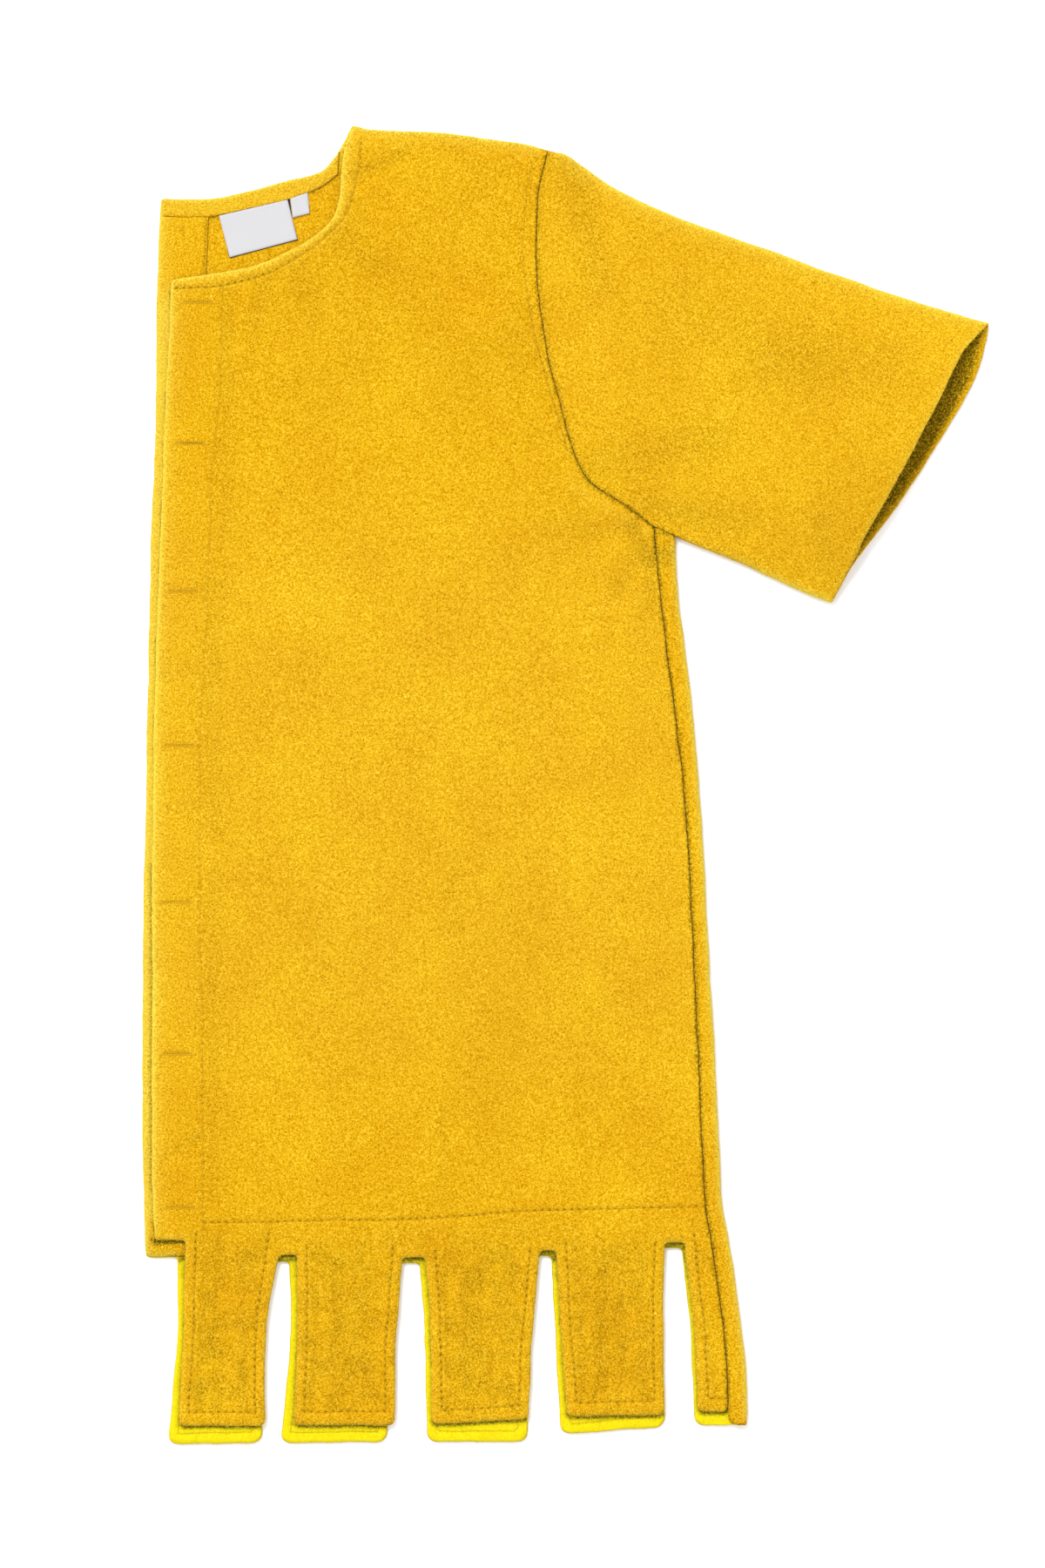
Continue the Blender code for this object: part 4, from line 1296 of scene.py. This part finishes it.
def times(tree, first, second, clamp=False):
    return maths(tree, "MULTIPLY", first, second, clamp)


def plus(tree, first, second, clamp=False):
    return maths(tree, "ADD", first, second, clamp)


def vectorMaths(tree, operation, first, second):
    socket = "Scale" if operation == "SCALE" else 1
    return addNode(tree, "VectorMath", {0: first, socket: second}, operation=operation).outputs[0]


def chance(tree, vector, scale, detail=2.0, roughness=0.5):
    inputs = {"Vector": vector, "Scale": scale, "Detail": detail, "Roughness": roughness}
    return addNode(tree, "TexNoise", inputs).outputs


def mixColour(tree, factor, first, second, blend="MIX"):
    inputs = {0: factor, 6: first, 7: second}
    return addNode(tree, "Mix", inputs, data_type="RGBA", blend_type=blend).outputs[2]


def remap(tree, value, low, high, lowTo=0.0, highTo=1.0, smooth=False):
    return addNode(tree, "MapRange", {"Value": value, "From Min": low, "From Max": high, "To Min": lowTo,
                                      "To Max": highTo},
                   interpolation_type="SMOOTHSTEP" if smooth else "LINEAR").outputs[0]


def newGroup(name, inputs, outputs):
    # the inputs are Coordinates and then values; every output is one number
    tree = bpy.data.node_groups.new(name, "ShaderNodeTree")
    for socket, value in inputs.items():
        kind = "NodeSocketVector" if value is None else "NodeSocketFloat"
        made = tree.interface.new_socket(name=socket, in_out="INPUT", socket_type=kind)
        if value is not None:
            made.default_value = value
    for socket in outputs:
        tree.interface.new_socket(name=socket, in_out="OUTPUT", socket_type="NodeSocketFloat")
    return tree, tree.nodes.new("NodeGroupInput").outputs, tree.nodes.new("NodeGroupOutput").inputs


def giveOut(tree, result, values):
    for name, value in values.items():
        tree.links.new(value, result[name])
    return tree


def buildFeltedFibres():
    # fulled wool: matted fibres in three directions, clumps, slow mottling, pale neps and dark flecks
    tree, given, result = newGroup("feltedFibres", {
        "Coordinates": None, "Fibre Scale": 1850.0, "Clump Scale": 930.0, "Mottle Scale": 15.0,
        "Fleck Scale": 60.0,
    }, ["Tone", "Height", "Neps", "Flecks", "Mottle"])
    warp = chance(tree, given["Coordinates"], 520.0)["Color"]
    shift = vectorMaths(tree, "SCALE", vectorMaths(tree, "SUBTRACT", warp, (0.5, 0.5, 0.5)), 0.0016)
    bent = vectorMaths(tree, "ADD", given["Coordinates"], shift)
    strands = []
    for angle, stretch in ((0.25, 4.0), (1.35, 3.2), (-0.75, 3.6)):
        inputs = {"Vector": bent, "Rotation": (0, 0, angle), "Scale": (1, stretch, 1.5)}
        turned = addNode(tree, "Mapping", inputs, vector_type="TEXTURE").outputs[0]
        strands.append(remap(tree, chance(tree, turned, given["Fibre Scale"], roughness=0.6)[0], 0.34, 0.68))
    strongest = maths(tree, "MAXIMUM", maths(tree, "MAXIMUM", strands[0], strands[1]), strands[2])
    mean = times(tree, plus(tree, plus(tree, strands[0], strands[1]), strands[2]), 0.333)
    fibres = plus(tree, times(tree, strongest, 0.45), times(tree, mean, 0.55))
    clumps = remap(tree, chance(tree, bent, given["Clump Scale"], roughness=0.6)[0], 0.30, 0.70)
    slow = chance(tree, given["Coordinates"], given["Mottle Scale"], 4.0, 0.62)[0]
    values = {
        "Tone": plus(tree, times(tree, fibres, 0.58), times(tree, clumps, 0.42)),
        "Height": plus(tree, times(tree, fibres, 0.6), times(tree, clumps, 0.6)),
        "Mottle": remap(tree, slow, 0.30, 0.70),
    }
    for name, seed, rare, size in (("Neps", 3.0, 0.30, 0.050), ("Flecks", 11.0, 0.12, 0.040)):
        moved = vectorMaths(tree, "ADD", bent, (seed, seed * 1.7, 0))
        cells = addNode(tree, "TexVoronoi", {"Vector": moved, "Scale": given["Fleck Scale"]}).outputs
        spot = remap(tree, cells["Distance"], size, size * 0.35)
        chosen = addNode(tree, "SeparateColor", {0: cells["Color"]}).outputs[0]
        values[name] = times(tree, spot, maths(tree, "LESS_THAN", chosen, rare), True)
    return giveOut(tree, result, values)


def buildPaintedLightMasks():
    # the masks painted on the cloth: painted shade in the needle holes and pressed lines, the painted shade,
    # and the painted highlight on the free edges
    tree, given, result = newGroup("paintedLightMasks", {"Line Width": 0.0012, "Between Holes": 0.22},
                                   ["Stitches", "Shade", "Edge"])
    read = {name: addNode(tree, "Attribute", attribute_name=name).outputs["Fac"]
            for name in ("seamNear", "seamOffset", "seamPlace", "shade", "rim")}
    line = remap(tree, maths(tree, "ABSOLUTE", read["seamOffset"]), given["Line Width"], 0.0, smooth=True)
    turned = maths(tree, "COSINE", times(tree, read["seamPlace"], 2 * math.pi))
    hole = remap(tree, turned, -0.2, 0.8, given["Between Holes"], 1.0, smooth=True)
    seamShade = times(tree, times(tree, line, hole), read["seamNear"])
    return giveOut(tree, result, {"Stitches": seamShade, "Shade": read["shade"], "Edge": read["rim"]})


def buildWovenThreads():
    # crossed threads: two sets of bands, with a diagonal set for twill
    tree, given, result = newGroup("wovenThreads", {
        "Coordinates": None, "Warp Scale": 600.0, "Weft Scale": 600.0, "Diagonal": 0.0, "Slub": 0.3,
    }, ["Tone", "Height"])
    bands = []
    for direction, scale in (("X", "Warp Scale"), ("Y", "Weft Scale"), ("DIAGONAL", "Warp Scale")):
        inputs = {"Vector": given["Coordinates"], "Scale": given[scale], "Distortion": 0.6, "Detail": 1.0,
                  "Detail Scale": 0.8}
        bands.append(addNode(tree, "TexWave", inputs, bands_direction=direction).outputs["Fac"])
    crossed = times(tree, plus(tree, bands[0], bands[1]), 0.5)
    plain = times(tree, crossed, maths(tree, "SUBTRACT", 1.0, given["Diagonal"]))
    height = plus(tree, plain, times(tree, bands[2], given["Diagonal"]))
    uneven = times(tree, chance(tree, given["Coordinates"], 700.0, 3.0)[0], given["Slub"])
    return giveOut(tree, result, {"Height": plus(tree, height, uneven),
                                  "Tone": plus(tree, times(tree, height, 0.6), uneven, True)})


feltedFibres = buildFeltedFibres()
paintedLightMasks = buildPaintedLightMasks()
wovenThreads = buildWovenThreads()

# what every finish has, where its own values don't say otherwise
plainLook = {
    "roughness": 0.6,
    "specular": 0.22,
    "sheen": 0.0,
    "sheenRoughness": 0.5,
    "tint": (1, 1, 1),
    "turn": 0.0,            # of the weave, in radians
}


def newMaterial(name, look):
    made = bpy.data.materials.new(name)
    made.use_nodes = True
    shader = made.node_tree.nodes["Principled BSDF"].inputs
    tint = (*look["tint"], 1)
    values = {"Roughness": look["roughness"], "Specular IOR Level": look["specular"], "Specular Tint": tint,
              "Sheen Weight": look["sheen"], "Sheen Roughness": look["sheenRoughness"], "Sheen Tint": tint}
    for socket, value in values.items():
        shader[socket].default_value = value
    return made, made.node_tree, shader


def addRelief(tree, shader, strength, depth, height):
    relief = addNode(tree, "Bump", {"Strength": strength, "Distance": depth, "Height": height})
    tree.links.new(relief.outputs[0], shader["Normal"])


def rampColour(tree, value, stops):
    ramp = addNode(tree, "ValToRGB", {0: value})
    while len(ramp.color_ramp.elements) < len(stops):
        ramp.color_ramp.elements.new(0.5)
    for element, (place, colour) in zip(ramp.color_ramp.elements, stops):
        element.position = place
        element.color = (*colour, 1)
    return ramp.outputs[0]


def tinted(tree, colour, mask, share, over):
    return mixColour(tree, times(tree, mask, share), colour, (*over, 1))


def paintLightAndShade(tree, colour, look, tone):
    # paints highlight on the free edges and shade in the lines of stitches and the shaded parts, deep fibres
    # first
    masks = addNode(tree, "Group", node_tree=paintedLightMasks).outputs
    raised = remap(tree, tone, *look["tones"], look["rimShare"] * 0.7, look["rimShare"] * 1.3)
    colour = mixColour(tree, times(tree, masks["Edge"], raised, True), colour, (*look["rim"], 1))
    colour = tinted(tree, colour, masks["Stitches"], look["seamShadeShare"], look["seamShade"])
    sunk = remap(tree, tone, *look["tones"], 1.6, 0.4)
    return mixColour(tree, times(tree, masks["Shade"], sunk, True), colour, (*look["shade"], 1))


# linear colours of the wool from its deep to its bright fibres
woolLook = {
    **plainLook,
    "stops": [
        (0.24, (0.320, 0.138, 0.0002)), (0.43, (0.450, 0.228, 0.0006)),
        (0.57, (0.540, 0.298, 0.0025)), (0.76, (0.640, 0.398, 0.0220)),
    ],
    "tones": (0.3, 0.7),    # from deep to bright fibres
    # painted highlight of the free edges, which the paler body also mixes towards
    "rim": (0.690, 0.640, 0.085),
    "rimShare": 1.0,
    # painted shade in the needle holes and pressed lines of stitches
    "seamShade": (0.150, 0.088, 0.002),
    "seamShadeShare": 0.75,
    "shade": (0.095, 0.058, 0.0006),
    "nep": (0.700, 0.600, 0.050),
    "fleck": (0.200, 0.120, 0.010),
    "mottle": ((0.94, 0.87, 0.78), (1.03, 1.08, 1.22)),
    "roughness": 0.92,
    "specular": 0.14,
    "sheen": 0.16,
    "sheenRoughness": 0.45,
    "tint": (1.0, 0.70, 0.16),
    "bump": 0.70,
    "bumpDepth": 0.00045,
}


def woolMaterial(name, look):
    made, tree, shader = newMaterial(name, look)
    fibres = addNode(tree, "Group", {"Coordinates": addNode(tree, "TexCoord").outputs["Object"]},
                     node_tree=feltedFibres).outputs
    colour = rampColour(tree, fibres["Tone"], look["stops"])
    low, high = look["mottle"]
    shade = mixColour(tree, fibres["Mottle"], (*low, 1), (*high, 1))
    colour = mixColour(tree, 1.0, colour, shade, "MULTIPLY")
    colour = tinted(tree, colour, fibres["Neps"], 0.7, look["nep"])
    colour = tinted(tree, colour, fibres["Flecks"], 0.6, look["fleck"])
    tree.links.new(paintLightAndShade(tree, colour, look, fibres["Tone"]), shader["Base Color"])
    addRelief(tree, shader, look["bump"], look["bumpDepth"], fibres["Height"])
    return made


def wovenMaterial(name, look):
    made, tree, shader = newMaterial(name, look)
    place = addNode(tree, "TexCoord").outputs["Object"]
    turned = addNode(tree, "Mapping", {"Vector": place, "Rotation": (0, 0, -look["turn"])}).outputs[0]
    weave = dict(zip(("Warp Scale", "Weft Scale", "Diagonal", "Slub"), look["weave"]))
    threads = addNode(tree, "Group", {"Coordinates": turned, **weave}, node_tree=wovenThreads).outputs
    colour = rampColour(tree, threads["Tone"], look["stops"])
    if "rim" in look:
        colour = paintLightAndShade(tree, colour, look, threads["Tone"])
    tree.links.new(colour, shader["Base Color"])
    addRelief(tree, shader, 0.6, look["depth"], threads["Height"])
    return made


# weave: threads along, threads across, share of diagonal, unevenness
cottonLook = {
    **plainLook,
    "stops": [(0.45, (0.540, 0.385, 0.0006)), (0.75, (0.630, 0.510, 0.0030)), (1.0, (0.670, 0.580, 0.0100))],
    "weave": (620, 620, 0.0, 1.0),
    "depth": 0.0002,
    "tones": (0.62, 1.02),
    # painted highlight of the free edges
    "rim": (0.640, 0.530, 0.004),
    "rimShare": 0.4,
    # painted shade in the needle holes and pressed lines of stitches
    "seamShade": (0.170, 0.120, 0.001),
    "seamShadeShare": 0.60,
    "shade": (0.085, 0.060, 0.0020),
    "roughness": 0.88,
    "specular": 0.12,
    "sheen": 0.10,
    "tint": (1.0, 0.85, 0.2),
}
labelLook = {
    **plainLook,
    "stops": [(0.1, (0.40, 0.395, 0.41)), (0.9, (0.49, 0.487, 0.50))],
    "weave": (1200, 800, 0.0, 0.15),
    "depth": 0.0001,
    "roughness": 0.5,
    "specular": 0.25,
    "turn": math.radians(ribbons["turn"]),
}
# the label's own dark back, which at the label's edges stands in for its shadow
undersideAndShadowLook = {
    **labelLook,
    "stops": [(0.1, (0.020, 0.020, 0.022)), (0.9, (0.045, 0.045, 0.050))],
    "specular": 0.1,
}
threadLook = {
    **plainLook,
    "stops": [(0.1, (0.430, 0.225, 0.002)), (0.9, (0.620, 0.370, 0.010))],
    "weave": (1500, 400, 0.6, 0.3),
    "depth": 0.0001,
    "specular": 0.2,
    "sheen": 0.1,
    "tint": (1.0, 0.75, 0.25),
}
wool = woolMaterial("feltedWool", woolLook)
looseWool = woolMaterial("looseFibres", {**woolLook, "sheen": 0.0})
cotton = wovenMaterial("facingCotton", cottonLook)
labelSatin = wovenMaterial("labelSatin", labelLook)
labelDark = wovenMaterial("labelDark", undersideAndShadowLook)
thread = wovenMaterial("sewingThread", threadLook)
print("surcoat: materials made")


# every stitch that shows, joined for each piece it is sewn through
def frontTop(x, y):
    return frontLevel(x, y) + frontDetail(x, y) + 0.00020


def sewButtonhole(bm, x, y):
    look = buttonholes
    length, low = look["length"], 0.0001
    shape = threadShape(look["stitch"], look["thread"])
    count = round(length / look["pitch"])
    for k in range(count + 1):
        across = x - length / 2 + length * k / count
        for side in (-1, 1):
            spot = y + side * look["stitch"] * 0.33
            addStitch(bm, shape, across, spot, frontTop(across, spot) - low,
                      math.pi / 2 + random.uniform(-0.12, 0.12), 1, random.uniform(0.85, 1.15))
    for side in (-1, 1):
        for k in range(look["endStitches"]):
            spot = x + side * (length / 2 + 0.0004 + 0.0003 * k)
            addStitch(bm, shape, spot, y, frontTop(spot, y) - low, math.pi / 2, 1, 1.7)
    bpy.data.meshes.remove(shape)


def makeFrontThreads(material):
    bm = bmesh.new()
    for line in frontLines:
        sewLine(bm, line, frontTop)
    for x, y in buttonholes["places"]:
        sewButtonhole(bm, x, y)
    return makePiece(bm, "frontStitches", material, "wool_cloth")


def makeBackThreads(material):
    # these lie in the outer face of the back, which faces the floor
    bm = bmesh.new()
    for line in backLines:
        sewLine(bm, line, lambda x, y: placeBack(x - foldAt(y), y, 0).z + 0.00035, -1)
    return makePiece(bm, "backStitches", material, "wool_cloth")


# the facings' zigzag, and the cross of thread where a button is sewn on
facingThreads = {
    "stitch": 0.0026,
    "thread": 0.00022,
    "pitch": 0.0021,
    "slants": (118, 62),
    "cross": (-0.2340, 0.3389),
    "crossThreads": [(50, 0.0002), (56, -0.0004), (128, 0.0002), (134, -0.0004)],
}


def makeFacingThreads(material):
    bm = bmesh.new()
    level = inner + cut["facing"]
    for line in facingLines:
        sewLine(bm, line, lambda x, y: level - 0.0003)
    look = facingThreads
    short = threadShape(look["stitch"], look["thread"])
    edge = bodyEdge(backEdge, facing["stitchedTop"], facing["stitchedFoot"], cut["placketFacing"] - 0.0012)
    for k, (x, y) in enumerate(spaced(edge, look["pitch"])):
        addStitch(bm, short, x, y, level + 0.00015, math.radians(look["slants"][k % 2]))
    x, y = look["cross"]
    for angle, dx in look["crossThreads"]:
        addStitch(bm, stitchShape, x + dx, y, level + 0.0002, math.radians(angle), 1, 1.3)
    bpy.data.meshes.remove(short)
    return makePiece(bm, "facingStitches", material, "wool_cloth")


# loose fibres that stand out of the wool's free edges
fuzz = {
    "thick": 0.00008,
    "reach": (0.0005, 0.0020),
    "spread": 1.1,
    "bend": 0.45,
    "root": 0.0005,
    "gap": 0.0009,          # between fibres, and at the rough foot of a placket
    "footGap": 0.0004,
    "rings": 4,
}


def addFibre(bm, root, outward, reach):
    angle = math.atan2(outward.y, outward.x) + random.uniform(-1, 1) * fuzz["spread"]
    ahead = Vector((math.cos(angle), math.sin(angle), random.uniform(-0.25, 0.45)))
    side = Vector((-ahead.y, ahead.x, 0)).normalized()
    bend = random.uniform(-fuzz["bend"], fuzz["bend"]) * reach
    rings = []
    for k in range(fuzz["rings"]):
        part = k / fuzz["rings"]
        middle = root + ahead * reach * part + side * bend * part * part
        thick = fuzz["thick"] * (1 - 0.7 * part)
        across, up = side * thick, Vector((0, 0, thick))
        rings.append([bm.verts.new(middle + across * math.cos(turn) + up * math.sin(turn))
                      for turn in (0.5, 2.6, 4.7)])
    tip = bm.verts.new(root + ahead * reach + side * bend)
    for ring, after in zip(rings, rings[1:]):
        joinRings(bm, ring, after)
    for index in range(3):
        bm.faces.new((rings[-1][index - 1], rings[-1][index], tip))
    bm.faces.new(rings[0])


def addFuzz(bm, points, turn=1, gap=fuzz["gap"]):
    # the points run with the outside on their left, or on their right with turn -1
    for start, end in zip(points, points[1:]):
        run = (end - start).xy
        if run.length == 0:
            continue
        outward = Vector((-run.y, run.x)).normalized() * turn
        count = run.length / gap
        for k in range(int(count) + (random.random() < count % 1)):
            root = start.lerp(end, random.random()) - outward.to_3d() * fuzz["root"]
            root.z = max(root.z + random.uniform(-0.0004, 0.0004), 0.0004)
            addFibre(bm, root, outward, random.uniform(*fuzz["reach"]))


def makeFuzz(name, material, lines):
    bm = bmesh.new()
    for line in lines:
        addFuzz(bm, *line)
    for vert in bm.verts:
        vert.co.z = max(vert.co.z, 0.0001)
    bmesh.ops.recalc_face_normals(bm, faces=bm.faces[:])
    # painted highlight: the fibres take the free edges' highlight colour in full
    paint(bm, "rim", lambda x, y: 1.0)
    return makePiece(bm, name, material, "wool_cloth")


def lifted(points, z):
    return [Vector((x, y, z)) for x, y in points]


def footFringe(tabs, column, corner, z):
    # the placket's foot, between the first tab and the centre edge
    y = tabs[0][slitTop]
    return lifted([(tabs[0][0], y), (bodyAt(y, column) + corner, y)], z), 1, fuzz["footGap"]


def frontFringe():
    # runs of the front's outline that are not sewn to another piece
    runs, run = [], []
    for x, y in frontEdges + frontEdges[:1]:
        if joined(x, y).distance > 0.003 and y < shoulderAt(x) - 0.010:
            run.append(Vector((x, y, frontLevel(x, y) - 0.0016)))
        elif run:
            runs.append((run,))
            run = []
    return runs + [(run,), footFringe(frontTabs, frontEdge, cut["corner"], top - cut["turned"])]


def backFringe():
    outline = lifted([(x + foldAt(y), y) for x, y in backEdges if x < -cut["roll"]], 0.0010)
    start = next(k for k, point in enumerate(outline) if point.y < -0.2)
    side = bodyEdge(fold, 0.1400, backTabs[-1][footLeft])
    return [(outline[start:],), (outline[:40],), (lifted(curveEdge("shoulder"), 0.0020),),
            (lifted(side, cut["roll"]),), footFringe(backTabs, backEdge, cut["backFoot"], 0.0020)]


def sleeveFringe():
    # the cuff's two layers, and the edges along the top and under the arm
    cuff = sleeveRing(1.0, False, 1.0)
    half = len(cuff) // 2
    above, below = (lifted(curveEdge(name), cut["roll"]) for name in ("sleeveTop", "underarm"))
    return [(cuff[:half + 1], 1), (cuff[half:] + cuff[:1], -1), (above, 1), (below, -1)]


front = makeFront(wool)
back = makeBack(wool)
armSleeve = makeSleeve(wool)
neckBand, placketFacing, hemFacing = makeFacings(wool, cotton)
label = makeRibbon("blankLabel", ribbons["label"], labelSatin, "label")
tag = makeRibbon("blankSizeTag", ribbons["tag"], labelSatin, "size_tag")
makeUndersideAndShadow(labelDark)
makeFrontThreads(thread)
makeBackThreads(thread)
makeFacingThreads(thread)
makeFuzz("frontFibres", looseWool, frontFringe())
makeFuzz("backFibres", looseWool, backFringe())
makeFuzz("sleeveFibres", looseWool, sleeveFringe())


# floor, light and camera
stage = {
    "floor": (0.93, 0.93, 0.93),
    "floorSize": 4,
    "floorDrop": 0.0002,
    "world": 1.13,
    "softbox": {"place": (-3.0, 5.4, 7.2), "size": 3.6, "power": 850},
    "cameraHeight": 4.0,
    "sharpHeight": 0.005,   # the level whose scale the lens is set for
    "centre": (-0.0262, 0.0008),
    "framed": 0.954,        # metres from the top of the frame to its foot
    "sensor": 36,
}


def makeFloor():
    bm = bmesh.new()
    bmesh.ops.create_grid(bm, x_segments=2, y_segments=2, size=stage["floorSize"])
    bmesh.ops.translate(bm, vec=(0, 0, -stage["floorDrop"]), verts=bm.verts)
    mesh = bpy.data.meshes.new("floor")
    bm.to_mesh(mesh)
    bm.free()
    paleFloor, tree, shader = newMaterial("paleFloor", {**plainLook, "roughness": 0.8})
    shader["Base Color"].default_value = (*stage["floor"], 1)
    mesh.materials.append(paleFloor)
    addToScene("floor", mesh)


def lightStudio():
    world = bpy.data.worlds.new("studio")
    bpy.context.scene.world = world
    world.use_nodes = True
    background = world.node_tree.nodes["Background"].inputs
    background["Color"].default_value = (1, 1, 1, 1)
    background["Strength"].default_value = stage["world"]
    look = stage["softbox"]
    light = bpy.data.lights.new("softbox", "AREA")
    light.shape = "SQUARE"
    light.size = look["size"]
    light.energy = look["power"]
    lamp = addToScene("softbox", light)
    lamp.location = look["place"]
    lamp.rotation_euler = (-Vector(look["place"])).to_track_quat("-Z", "Y").to_euler()


def placeCamera():
    lens = bpy.data.cameras.new("camera")
    lens.sensor_width = stage["sensor"]
    lens.lens = stage["sensor"] * (stage["cameraHeight"] - stage["sharpHeight"]) / stage["framed"]
    camera = addToScene("camera", lens)
    camera.location = (*stage["centre"], stage["cameraHeight"])
    bpy.context.scene.camera = camera
    bpy.context.scene.view_settings.view_transform = "Standard"


makeFloor()
lightStudio()
placeCamera()
print("surcoat: floor, light and camera set")

print("surcoat: done")
